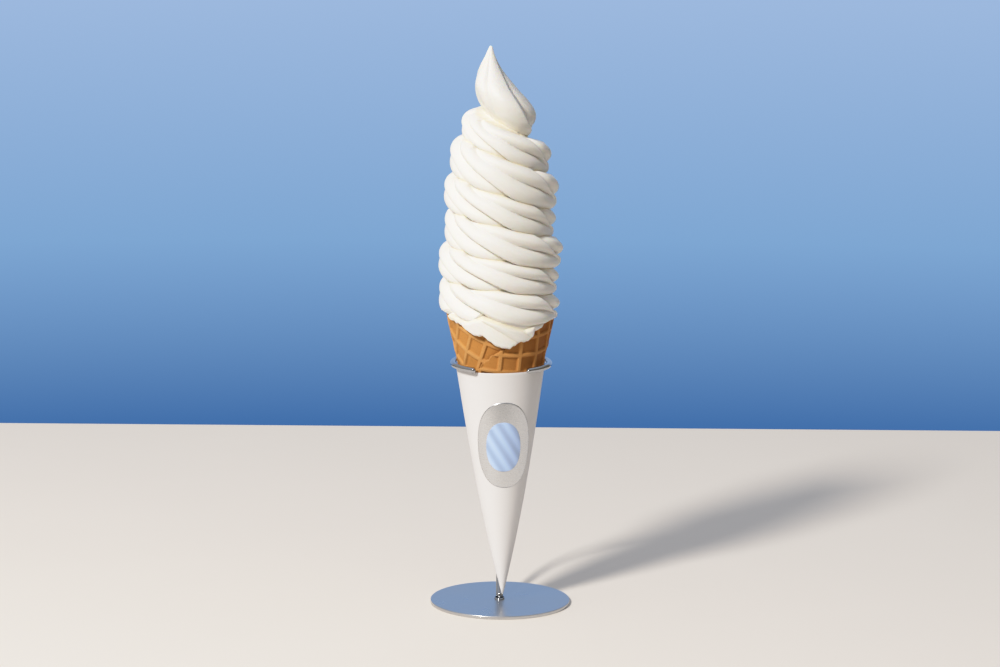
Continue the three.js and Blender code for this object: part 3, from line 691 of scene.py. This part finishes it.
class MakeSleeve(bpy.types.Operator):
    """Make the paper cone, and the foil patch and printed motif that lie on it"""

    bl_idname = "soft_serve.make_sleeve"
    bl_label = "Make Sleeve"

    def execute(self, context):
        s = context.scene.soft_serve
        finish_piece(self.paper(s), card(s), "sleeve_paper", "paper_sleeve")
        patch = self.patch("foil_patch", s, middle=(2, 84), size=(15.5, 23.5), lift=0.05)
        finish_piece(patch, foil(), "sleeve_paper")
        motif = self.patch("printed_motif", s, middle=(1.5, 83), size=(9.5, 13.5), lift=0.1)
        finish_piece(motif, printed_ink(s), "sleeve_paper")
        return {"FINISHED"}

    @staticmethod
    def paper(s):
        """A rolled sheet: the wall, its rounded rim and the lapped seam down the back."""
        length, thick = s.sleeve_length / MM, s.paper_thickness / MM
        columns, rows = 256, 90
        turns = np.linspace(-pi, pi, columns, endpoint=False)
        f, flat = np.linspace(0, 1, rows) ** 0.8, np.zeros(rows)
        up = np.concatenate([f, [1.0, 1.0], f[::-1]])
        lift = np.concatenate([flat, [-0.12 * thick, -0.88 * thick], np.full(rows, -thick)])
        over = np.concatenate([flat, [0.1, 0.1], flat])
        lap = LAP_RISE * np.clip((pi - LAP_SPAN - turns) / -LAP_EDGE, 0, 1)
        seam = np.outer(lap, np.concatenate([np.clip(f * 5, 0, 1), [1, 1], flat]))
        r = np.maximum(sleeve_radius(up * length, s) + lift, 0.05) + seam
        h = np.maximum(up * length, np.where(lift < -0.9 * thick, 3.0, 0)) + over
        wall = around_axis(r, turns[:, None], np.tile(h, (columns, 1))).reshape(-1, 3)
        points = np.vstack([onto_cone(wall), onto_cone([[0, 0, -0.25], [0, 0, 3.0]])])
        return make_piece("paper_cone", points, closed_grid(columns, len(up)))

    @staticmethod
    def patch(name, s, middle, size, lift):
        """A thin oval patch that hugs the card."""
        rings, spokes = 40, 160
        out = np.linspace(0.0, 1, rings)[None, :] * np.ones((spokes, 1))
        out[:, 0] = 0.004
        angle = np.linspace(0, 2 * pi, spokes, endpoint=False)[:, None]
        across = size[0] * out * np.sign(np.cos(angle)) * np.abs(np.cos(angle)) ** 0.9
        up = size[1] * out * np.sign(np.sin(angle)) * np.abs(np.sin(angle)) ** 0.9
        h = middle[1] + up
        turn = (middle[0] + across) / sleeve_radius(h, s)
        top = on_sleeve(turn, h, lift, s).reshape(-1, 3)
        under = on_sleeve(turn, h, -0.1, s).reshape(-1, 3)
        count = len(top)
        band = np.tile((0.5 + 0.5 * np.sin(across * 0.9 + up * 0.55)).reshape(-1), 2)
        faces = grid(spokes, rings, wrap=True)[:, ::-1]
        rim = np.arange(spokes) * rings + rings - 1
        side = np.stack([rim, rim + count, np.roll(rim, -1) + count, np.roll(rim, -1)], -1)
        hub = np.arange(spokes) * rings
        faces = [faces, faces[:, ::-1] + count, side, hub[None, :], hub[None, ::-1] + count]
        return make_piece(name, np.vstack([top, under]), faces, {"band": band})


# ---------------------------------------------------------------- wafer


def wafer_shape():
    """Raises the baked ribs of a sheet along a grid in its own coordinates, and roughens it a little."""
    shape = Shape("baked_ribs", Rib_Rise=0.85 * MM, Rib_Crest=1.2, Rib_Foot=3.2, Crumb=0.05 * MM)
    outward = shape.attribute("outward", "FLOAT_VECTOR")
    bare = shape.attribute("bare")
    nearest = []
    for name, pitch in (("along", RIB_PITCH_ALONG), ("across", RIB_PITCH_ROUND)):
        away = shape.math("ABSOLUTE", shape.math("WRAP", shape.attribute(name), pitch / 2, -pitch / 2))
        nearest.append(away)
    away = shape.math("SMOOTH_MIN", nearest[0], nearest[1], 0.35)
    half_crest = shape.math("MULTIPLY", shape.given("Rib Crest"), 0.5)
    half_foot = shape.math("MULTIPLY", shape.given("Rib Foot"), 0.5)
    rib = shape.span(away, half_foot, half_crest, 0, 1, smooth=True)
    rib = shape.math("MULTIPLY", rib, bare)
    geometry = shape.store(shape.given("Geometry"), "rib", rib)
    rise = shape.math("MULTIPLY", shape.math("SUBTRACT", rib, bare), shape.given("Rib Rise"))
    place = shape.add("GeometryNodeInputPosition")
    crumb = shape.math("SUBTRACT", shape.noise(place, 420, 2, w=3.0), 0.5)
    rise = shape.math("MULTIPLY_ADD", crumb, shape.given("Crumb"), rise)
    geometry = shape.shift(geometry, shape.scaled(outward, rise))
    shape.close(geometry)
    return shape


class MakeWafer(bpy.types.Operator):
    """Make the rolled, ribbed wafer: its inner turn and its outer turn with the slanting edge"""

    bl_idname = "soft_serve.make_wafer"
    bl_label = "Make Wafer"

    def execute(self, context):
        s = context.scene.soft_serve
        shape, baked = wafer_shape(), baked_wafer(s)
        for name, start, end, flap in WAFER_TURNS:
            sheet = self.layer(name, s, start, end, flap)
            finish_piece(grow(sheet, shape, baked, Rib_Rise=s.rib_rise), baked, "wafer", "wafer_cone")
        return {"FINISHED"}

    @staticmethod
    def layer(name, s, from_turn, to_turn, flap):
        """One turn of the rolled sheet from inside the sleeve to its rim, closed and with a rounded top."""
        columns, rows, lip = 520, 86, 5
        layer = s.wafer_layer / MM
        slope = atan(WAFER_TAPER)
        low = s.sleeve_length / MM - WAFER_INSIDE
        turn = np.linspace(radians(from_turn), radians(to_turn), columns)[:, None]
        spiral = layer * (0.5 - turn / (2 * pi))
        # the top of the sheet: its rim, or the slanting edge of the flap
        top = WAFER_RIM - np.tan(RIM_TILT) * (RIM_RADIUS * np.sin(turn))
        top = top + 0.35 * np.sin(7.3 * turn + 1) + 0.22 * np.sin(23 * turn) + 0.12 * np.sin(61 * turn + 2)
        if flap:
            top = np.minimum(top, MakeWafer.flap_edge(turn))
        top = np.maximum(top, low + 1.0)
        thick = layer - LAYER_GAP
        f = np.linspace(0, 1, rows)[None, :]
        bend = np.linspace(0, pi, lip)[None, :]
        v_out = low + (top - low) * f
        v_lip = top + 0.42 * thick * np.sin(bend)
        v_in = v_out[:, ::-1]
        h = np.concatenate([v_out, v_lip, v_in], 1)
        every, none = np.ones_like(turn), np.zeros_like(v_in)
        down = np.concatenate([none, thick * (0.5 - 0.5 * np.cos(bend)) * every, none + thick], 1)
        bare = np.concatenate([none + 1, (1 - bend / pi) * every, none], 1)
        edge = np.concatenate([np.clip(1 - (top - v_out) / 0.8, 0, 1) * 0.6, np.ones_like(v_lip), none], 1)
        out = (h - WAFER_APEX) / cos(slope)
        lift = spiral - down
        r = out * sin(slope) + lift * cos(slope)
        z = WAFER_APEX + out * cos(slope) - lift * sin(slope)
        length = s.sleeve_length / MM
        held = sleeve_radius(np.minimum(z, length), s) - s.paper_thickness / MM - PAPER_GAP
        r = np.minimum(r, held - down * 0.9 + np.maximum(z - length - 0.3, 0) * 0.8)
        flat = turn * sin(slope)
        x, y = out * np.cos(flat), out * np.sin(flat)
        along = x * cos(RIB_TURN) + y * sin(RIB_TURN) - RIB_SHIFT_ALONG
        across = -x * sin(RIB_TURN) + y * cos(RIB_TURN) - RIB_SHIFT_ROUND
        points = onto_cone(around_axis(r, turn, z).reshape(-1, 3))
        outward = around_axis(np.full_like(h, cos(slope)), turn, np.full_like(h, -sin(slope)))
        count = h.shape[1]
        ids = np.arange(columns * count).reshape(columns, count)
        ids = np.hstack([ids, ids[:, :1]])
        ends = [ids[:1, :-1], ids[-1:, :-1][:, ::-1]]
        fields = {
            "along": along.ravel(), "across": across.ravel(), "bare": bare.ravel(), "edge": edge.ravel(),
            "outward": outward.reshape(-1, 3) @ cone_turn().T,
        }
        return make_piece(name, points, [quads(ids), *ends], fields)

    @staticmethod
    def flap_edge(turn):
        """Height of the outer turn's frilled, slanting edge, and far above the rim where it has none."""
        none, heights = 200.0, np.linspace(119, 152, 120)
        edge = np.full(turn.shape, none)
        for n, t in enumerate(turn[turn[:, 0] <= pi / 2, 0]):
            line = np.interp(WAFER_TAPER * (heights - WAFER_APEX) * sin(t), *zip(*FLAP_EDGE))
            above = np.nonzero(heights > line)[0]
            edge[n, 0] = heights[above[0]] if len(above) else none
        smooth = np.convolve(np.pad(edge[:, 0], 4, mode="edge"), np.ones(9) / 9, "valid")[:, None]
        edge = np.where((edge < none - 10) & (smooth < none - 10), smooth, edge)
        frill = 0.3 * np.sin(31 * turn + 0.6) + 0.25 * np.sin(57 * turn) + 0.12 * np.sin(113 * turn + 1)
        return edge + frill


# ---------------------------------------------------------------- soft serve


def rope_at(half, s):
    """The rope after some half turns: how far out and how high its middle is, its half width and height."""
    notches = np.concatenate([[SWIRL_FIRST_NOTCH], SWIRL_FIRST_NOTCH + np.cumsum(HALF_TURN_RISES)])
    low, high = through(notches, half), through(notches, np.asarray(half) + 2)
    wide = through(ROPE_HALF_WIDTHS, np.clip(np.asarray(half) - ROPE_THINS_FROM, 0, 4))
    return through(REACHES, half) - wide, (low + high) / 2, wide, (high - low) / 2 * s.rope_overlap


def squarish(face):
    """How far a rope's face is from its middle, as a share of its half width and height."""
    power = ROPE_SQUARENESS
    return (np.abs(np.cos(face)) ** power + np.abs(np.sin(face)) ** power) ** (-1 / power)


def on_face(face, depth, out, up, wide, tall):
    """Distance from the axis and height of a place on the rope's face, at a depth below its outline."""
    size = squarish(face)
    return out + (wide * size - depth) * np.cos(face), up + (tall * size - depth) * np.sin(face)


def along(table, at, column=1):
    """Reads a table of rows at smooth in-between places, by its first column."""
    fine = np.linspace(0, len(table) - 1, 20 * len(table))
    places, values = (through([row[k] for row in table], fine) for k in (0, column))
    return np.interp(at, places, values)


def crease(away, left, right):
    """The section of a groove between two arched lobes: 1 at its bottom, 0 past its reach on each side."""
    return np.maximum(1 - np.abs(away) / np.where(away > 0, right, left), 0) ** 2


def furrow_lines(half, s):
    """Where each furrow runs on the rope's face after a number of half turns, and how deep it is."""
    lines = []
    for furrow in FURROWS:
        middle = (furrow[0][0] + furrow[-1][0]) / 2
        at = (180 * half - middle + 180) % 360 - 180 + middle
        there = (at > furrow[0][0]) & (at < furrow[-1][0])
        deep = np.where(there, along(furrow, at, 2), 0) * s.furrow_depth
        lines.append((np.radians(along(furrow, at)), deep))
    return lines


def furrow_depth(face, half, s):
    """How deep the nozzle's furrows are at a place on the rope's face."""
    total = 0
    for (line, deep), (lower, upper) in zip(furrow_lines(half, s), FURROW_SPREADS):
        total = total + deep * crease(face - line, lower * s.furrow_below, upper * s.furrow_above)
    return total


def covered_from(half, s):
    """Where on its face the rope disappears under the coil one turn later."""
    rope, (over_out, over_up, over_wide, over_tall) = rope_at(half, s), rope_at(half + 2, s)
    free, covered = np.zeros_like(half), np.full_like(half, radians(85))
    for _ in range(26):
        face = (free + covered) / 2
        x, z = on_face(face, furrow_depth(face, half, s), *rope)
        x, z = (x - over_out) / over_wide, (z - over_up) / over_tall
        over = np.arctan2(z, x)
        cut = np.cos(over) ** 2 / over_wide + np.sin(over) ** 2 / over_tall
        cut = furrow_depth(over, half + 2, s) * cut
        clear = np.hypot(x, z) > squarish(over) - cut
        free, covered = np.where(clear, face, free), np.where(clear, covered, face)
    return np.convolve(np.pad(free, 2, mode="edge"), np.ones(5) / 5, "valid")


def swirl_shape():
    """Presses the nozzle's furrows into the rope along their lines, makes the ice a little uneven, and keeps
    how deep its creases are for the painted shade.
    """
    shape = Shape("swirl_furrows", Furrow_Above=radians(20), Furrow_Below=radians(40),
                  Lump_Height=0.16 * MM)
    outward = shape.attribute("outward", "FLOAT_VECTOR")
    above, below = (shape.given(name) for name in ("Furrow Above", "Furrow Below"))
    total = 0.0
    for number, (lower, upper) in enumerate(FURROW_SPREADS):
        away, deep = shape.attribute(f"furrow_{number}"), shape.attribute(f"furrow_{number}_depth")
        low_side, high_side = shape.math("MULTIPLY", below, lower), shape.math("MULTIPLY", above, upper)
        is_high = shape.math("GREATER_THAN", away, 0)
        width = shape.math("MULTIPLY_ADD", is_high, shape.math("SUBTRACT", high_side, low_side), low_side)
        ratio = shape.math("ABSOLUTE", shape.math("DIVIDE", away, width))
        left = shape.math("MAXIMUM", shape.math("SUBTRACT", 1, ratio), 0)
        total = shape.math("MULTIPLY_ADD", shape.math("MULTIPLY", left, left), deep, total)
    depth = shape.math("MULTIPLY", total, -MM)
    place = shape.add("GeometryNodeInputPosition")
    lump = shape.math("SUBTRACT", shape.noise(place, 85, 2, w=7.0), 0.5)
    depth = shape.math("MULTIPLY_ADD", lump, shape.given("Lump Height"), depth)
    # painted shade: darker down in the furrows' bottoms and where the coils meet
    bottom = shape.math("POWER", shape.math("MULTIPLY", total, 0.26), 3)
    crease_shade = shape.math("MULTIPLY_ADD", bottom, 0.2, shape.attribute("edge"))
    geometry = shape.store(shape.given("Geometry"), "crease", crease_shade)
    shape.close(shape.shift(geometry, shape.scaled(outward, depth)))
    return shape


class MakeSwirl(bpy.types.Operator):
    """Make the piped soft serve: its coils, the drawn-out peak and the tongue over the rim"""

    bl_idname = "soft_serve.make_swirl"
    bl_label = "Make Swirl"

    def execute(self, context):
        s = context.scene.soft_serve
        ice = milk_ice(s)
        coils = grow(self.coils(s), swirl_shape(), ice, Furrow_Above=s.furrow_above,
                     Furrow_Below=s.furrow_below, Lump_Height=s.lump_height)
        for piece in (coils, self.peak(), self.tongue(s), self.filling()):
            finish_piece(piece, ice, "soft_serve", "soft_serve")
        return {"FINISHED"}

    @staticmethod
    def coils(s):
        """The rope's visible face as one strip that winds up, closed to the axis below and above."""
        turn, rows = 228, 64
        count = round((SWIRL_END - SWIRL_START) / 2 * turn)
        half = SWIRL_START + 2 * np.arange(count + 1) / turn
        out, up, wide, tall = rope = rope_at(half, s)
        low, high = np.empty(count + 1), np.full(count + 1, radians(86))
        cover = covered_from(half, s)[:-turn]
        high[:-turn] = cover
        x, z = on_face(cover, furrow_depth(cover, half[:-turn], s), *(size[:-turn] for size in rope))
        low[turn:] = np.arctan2((z - up[turn:]) / tall[turn:], (x - out[turn:]) / wide[turn:])
        edge_height = np.interp(180 * (half[:turn] - SWIRL_START), *zip(*LOWEST_EDGE))
        faces = np.radians(np.linspace(-78, 60, 139))
        heights = squarish(faces) * np.sin(faces)
        low[:turn] = np.interp((edge_height - up[:turn]) / tall[:turn], heights, faces)
        share = np.linspace(0, 1, rows + 1)[None, :]
        face = low[:, None] + (high - low)[:, None] * share
        around = half[:, None] * pi * np.ones_like(face)
        across, height = on_face(face, 0, *(size[:, None] for size in rope))
        points = np.stack([across * np.cos(around), -across * np.sin(around), height], -1).reshape(-1, 3)
        outward = np.stack([np.cos(face) * np.cos(around), -np.cos(face) * np.sin(around), np.sin(face)], -1)
        ids = np.arange((count + 1) * (rows + 1)).reshape(count + 1, rows + 1)
        seam = ids.copy()
        seam[turn:, 0] = ids[:-turn, rows]
        foot, head = len(points), len(points) + 1
        points = np.vstack([points, [[0, 0, SWIRL_FIRST_NOTCH - 6], [0, 0, up[-1] + 2]]])
        strip = quads(seam)[:, ::-1]
        i, j = np.arange(turn), np.arange(count - turn, count)
        bottom = np.stack([np.full(turn, foot), seam[i, 0], seam[i + 1, 0]], -1)
        top = np.stack([np.full(turn, head), seam[j + 1, rows], seam[j, rows]], -1)
        n = np.arange(rows)
        start = np.stack([np.full(rows, foot), seam[0, n + 1], seam[0, n]], -1)
        end = np.stack([np.full(rows, head), seam[count, n], seam[count, n + 1]], -1)
        # where the coils meet, to be darkened by painted shade
        edge = np.exp(-share / 0.05) * (half[:, None] > half[0] + 2) + np.exp((share - 1) / 0.07)
        fields = {
            "edge": np.concatenate([edge.ravel(), [0, 0]]),
            "outward": np.vstack([outward.reshape(-1, 3), np.zeros((2, 3))]),
        }
        for number, (line, deep) in enumerate(furrow_lines(half, s)):
            fields[f"furrow_{number}"] = np.concatenate([(face - line[:, None]).ravel(), [0, 0]])
            depths = (deep[:, None] * np.ones_like(face)).ravel()
            fields[f"furrow_{number}_depth"] = np.concatenate([depths, [0, 0]])
        return make_piece("swirl_coils", points, [strip, bottom, top, start, end], fields)

    @staticmethod
    def peak():
        """The drawn-out tail: rings that tilt, shrink and wander to the left, with twisting grooves."""
        around, levels = 240, 170
        at = np.linspace(0, len(PEAK_RINGS) - 1, levels)
        height, right, radius = (through([ring[k] for ring in PEAK_RINGS], at) for k in range(3))
        turn = np.linspace(-pi, pi, around, endpoint=False)[:, None]
        share, crease_shade = np.ones((around, levels)), np.zeros((around, levels))
        for deep, left, right_side, turns in PEAK_GROOVES:
            away = turn - np.radians(through(turns, at))[None, :]
            away -= 2 * pi * np.round(away / (2 * pi))
            groove = crease(away, radians(left), radians(right_side))
            groove = deep * np.where(away < 0, np.sqrt(groove), groove) * np.clip(at / 1.5, 0, 1)[None, :]
            # painted shade down each groove
            share, crease_shade = share - groove, crease_shade + 2 * groove ** 2
        r = np.maximum(radius, 0.3)[None, :] * share
        x, y = r * np.sin(turn), -r * np.cos(turn)
        z = height[None, :] - PEAK_TILT * x
        points = np.stack([right[None, :] + x, y, z], -1).reshape(-1, 3)
        points = np.vstack([points, [[right[0], 0, height[0] - 4], [right[-1], 0, height[-1] + 0.2]]])
        # painted shade in the hollow under the peak's foot, on top of the painted shade in its grooves
        painted_shade = np.exp(-((turn + radians(24)) / radians(16)) ** 2)
        crease_shade += np.clip(1 - at / 1.6, 0, 1)[None, :] * (0.1 + 0.9 * painted_shade)
        fields = {"crease": np.concatenate([crease_shade.ravel(), [0, 0]])}
        return make_piece("swirl_peak", points, closed_grid(around, levels), fields)

    @staticmethod
    def tongue(s):
        """What comes from under the lowest coil and hangs over the rim, in folds with a thick lip."""
        columns, rows, back_rows = 340, 84, 12
        turn = np.linspace(TONGUE_EDGE[0][0], TONGUE_EDGE[-1][0], columns)[:, None]
        top, drop = (np.interp(turn, *zip(*table)) for table in (TONGUE_TOP, TONGUE_EDGE))
        for edge in (top, drop):
            for _ in range(4):
                edge[1:-1] = (edge[:-2] + 2 * edge[1:-1] + edge[2:]) / 4
        turn = np.radians(turn)
        drop = drop + 0.25 * np.sin(29 * turn + 1) * np.sin(17 * turn)
        drop = drop + 0.15 * np.sin(71 * turn) * np.sin(5 * turn)
        f = np.linspace(0, 1, rows)[None, :]
        down = -TONGUE_START + (drop + TONGUE_START) * (1 - (1 - f) ** 1.3)
        h = WAFER_RIM - np.tan(RIM_TILT) * RIM_RADIUS * np.sin(turn) - down
        folds = np.zeros_like(h)
        for leaves, deep in TONGUE_FOLDS:
            away = turn - radians(leaves) - radians(TONGUE_FOLD_RUN) * down
            folds += deep * crease(away, radians(24), radians(9))
        ends = np.clip(np.minimum(turn - turn[0], turn[-1] - turn) / radians(30), 0, 1)
        thick = 0.6 + 2.2 * ends * np.clip((drop - top) / 6, 0.25, 1)
        round_lip = np.sqrt(1 - (1 - np.clip((1 - f) * (drop + TONGUE_START) / 2.6, 0, 1)) ** 2)
        round_top = np.sqrt(1 - (1 - np.clip((down - top) / 2.4, 0, 1)) ** 2)
        lip = (0.4 + (thick - 0.4) * round_top) * round_lip
        lip = lip - 1.3 * np.maximum(np.minimum(top, -0.8) - down, 0)
        curl = 8 * np.clip(1 - (down + TONGUE_START) / 5, 0, 1) ** 1.2
        lip = lip - folds * np.clip(lip / 1.5 - 0.3, 0, 1) - curl
        base = WAFER_TAPER * (h - WAFER_APEX) + s.wafer_layer / MM * (0.5 - turn / (2 * pi))
        outside = around_axis(base + lip, turn, h)
        deep = np.linspace(0, 1, back_rows + 1)[None, 1:]
        h_back = h[:, -1:] + (h[:, :1] - h[:, -1:]) * deep
        r_back = WAFER_TAPER * (h_back - WAFER_APEX) - 2.4 * np.clip(deep * 4, 0, 1) - 6 * deep ** 2
        points = np.concatenate([outside, around_axis(r_back, turn, h_back)], 1)
        count = rows + back_rows
        ids = np.arange(columns * count).reshape(columns, count)
        ring = np.hstack([ids, ids[:, :1]])
        ends = [ids[:1, ::-1], ids[-1:]]
        # painted shade along the folds and in the band under the lowest coil's overhang
        crease_shade = np.concatenate([0.3 * folds + 0.8 * np.exp(-((down - top) / 1.3) ** 2),
                               np.zeros((columns, back_rows))], 1)
        return make_piece("swirl_tongue", onto_cone(points.reshape(-1, 3)), [quads(ring)[:, ::-1], *ends],
                          {"crease": crease_shade.ravel()})

    @staticmethod
    def filling():
        """What fills the wafer and carries the lowest coil."""
        profile = [(0, 60), (9, 60), (RIM_RADIUS - 3.4, WAFER_RIM), (22, WAFER_RIM + 6), (21, WAFER_RIM + 10),
                   (0, WAFER_RIM + 12)]
        points, faces = lathe(profile, 96)
        return make_piece("swirl_filling", onto_cone(points), faces)


# ---------------------------------------------------------------- stage


# the tone curve's points between black and white, its top, and the value that it takes for white
TONE_POINTS, TONE_TOP, TONE_WHITE = ((0.28, 0.45), (0.44, 0.69), (0.6, 0.85), (0.78, 0.94)), 0.985, 1.6
FLOOR_HALF_WIDTH, FLOOR_FRONT, FLOOR_BACK = 900, -300, 461
# the lamp shines along its travel (metres) at its target, from that many times the travel away
LAMP_TRAVEL, LAMP_TIMES, LAMP_TARGET = (0.775, 1.05, -1.0), 1.55, (0, 0, 120)
CAMERA_PLACE, CAMERA_DOWN, CAMERA_ROLL = (0, -1771.79, 466.62), radians(10.22), radians(0.46)


class MakeStage(bpy.types.Operator):
    """Make the pale floor, the soft studio light and the camera"""

    bl_idname = "soft_serve.make_stage"
    bl_label = "Make Stage"

    def execute(self, context):
        s = context.scene.soft_serve
        self.floor(s)
        self.light()
        self.room(s)
        self.camera()
        view = context.scene.view_settings
        view.view_transform = "Standard"
        view.look = "None"
        view.exposure = 0.0
        view.use_curve_mapping = True
        curve = view.curve_mapping
        curve.white_level = (TONE_WHITE,) * 3
        tone = curve.curves[3]
        tone.points[1].location = (1.0, TONE_TOP)
        for x, y in TONE_POINTS:
            tone.points.new(x, y)
        curve.update()
        return {"FINISHED"}

    @staticmethod
    def floor(s):
        side, front, back = FLOOR_HALF_WIDTH, FLOOR_FRONT, FLOOR_BACK
        corners = np.array([[-side, front, 0], [side, front, 0], [side, back, 0], [-side, back, 0]], float)
        piece = make_piece("pale_floor", corners, [[[0, 1, 2, 3]]])
        material, tree, shader, place = surface("pale_floor", Roughness=0.7, Specular_IOR_Level=0.25)
        cloud = tree.noise(place, 9, 2)
        tree.feed(shader.inputs["Base Color"], tree.shades(cloud, s.floor_colour, 0.985, 1.01))
        piece.data.materials.append(material)

    @staticmethod
    def light():
        data = bpy.data.lights.new("soft_key", "AREA")
        data.shape = "DISK"
        data.size = 0.42
        data.energy = 62.0
        data.color = (1.0, 0.95, 0.88)
        lamp = new_object("soft_key", data)
        travel = Vector(LAMP_TRAVEL)
        lamp.location = Vector(in_place(LAMP_TARGET)) - travel * LAMP_TIMES
        lamp.rotation_euler = travel.to_track_quat("-Z", "Y").to_euler()

    @staticmethod
    def room(s):
        """A blue card behind, pale light overhead and on the left, and a dark band low down elsewhere."""
        world = bpy.data.worlds.new("studio_room")
        bpy.context.scene.world = world
        world.use_nodes = True
        tree = Tree(world.node_tree)
        direction = tree.add("ShaderNodeTexCoord", out=None).outputs["Generated"]
        split = tree.add("ShaderNodeSeparateXYZ", direction, out=None)
        x, y, z = split.outputs
        card_colour = tree.mix(tree.span(z, -0.21, -0.15), (0.035, 0.13, 0.37, 1), colour(s.backdrop_colour))
        card_colour = tree.mix(tree.span(z, -0.15, -0.08), card_colour, (0.33, 0.48, 0.755, 1))
        to_right = tree.span(x, -0.6, 0.1, smooth=True)
        walls = tree.mix(to_right, (0.40, 0.385, 0.365, 1), (0.17, 0.15, 0.115, 1))
        walls = tree.mix(tree.span(z, -0.12, 0.06, smooth=True), (0.05, 0.045, 0.04, 1), walls)
        walls = tree.mix(tree.span(z, 0.25, 0.75, smooth=True), walls, (0.44, 0.47, 0.53, 1))
        walls = tree.mix(tree.span(y, 0.72, 0.9, smooth=True), walls, card_colour)
        sky = tree.mix(tree.span(z, -0.4, -0.3, smooth=True), (0.19, 0.175, 0.14, 1), walls)
        background = next(n for n in tree.tree.nodes if n.type == "BACKGROUND")
        tree.feed(background.inputs["Color"], sky)
        background.inputs["Strength"].default_value = 1.0

    @staticmethod
    def camera():
        data = bpy.data.cameras.new("camera")
        data.sensor_width = 36.0
        data.lens = 121.79
        data.shift_x = -0.00218
        data.clip_start, data.clip_end = 0.05, 50
        camera = new_object("camera", data)
        place = Matrix.Translation(Vector(in_place(CAMERA_PLACE)))
        tilt = Matrix.Rotation(pi / 2 - CAMERA_DOWN, 4, "X")
        camera.matrix_world = place @ tilt @ Matrix.Rotation(CAMERA_ROLL, 4, "Z")
        bpy.context.scene.camera = camera


class SOFTSERVE_PT_panel(bpy.types.Panel):
    """Lists the sizes, the colours and the steps"""

    bl_label = "Soft Serve Cone"
    bl_idname = "SOFTSERVE_PT_panel"
    bl_space_type = "VIEW_3D"
    bl_region_type = "UI"
    bl_category = "Soft Serve"

    def draw(self, context):
        settings = context.scene.soft_serve
        for name in ConeSettings.__annotations__:
            self.layout.prop(settings, name)
        for step in STEPS:
            self.layout.operator(step.bl_idname)


STEPS = (MakeDisc, MakeRodAndRing, MakeSleeve, MakeWafer, MakeSwirl, MakeStage)


def register():
    for item in (ConeSettings, *STEPS, SOFTSERVE_PT_panel):
        bpy.utils.register_class(item)
    bpy.types.Scene.soft_serve = bpy.props.PointerProperty(type=ConeSettings)


def unregister():
    del bpy.types.Scene.soft_serve
    for item in (SOFTSERVE_PT_panel, *reversed(STEPS), ConeSettings):
        bpy.utils.unregister_class(item)


def main():
    register()
    bpy.ops.soft_serve.make_stage()
    bpy.ops.soft_serve.make_disc()
    bpy.ops.soft_serve.make_rod_and_ring()
    bpy.ops.soft_serve.make_sleeve()
    bpy.ops.soft_serve.make_wafer()
    bpy.ops.soft_serve.make_swirl()


if __name__ == "__main__":
    main()
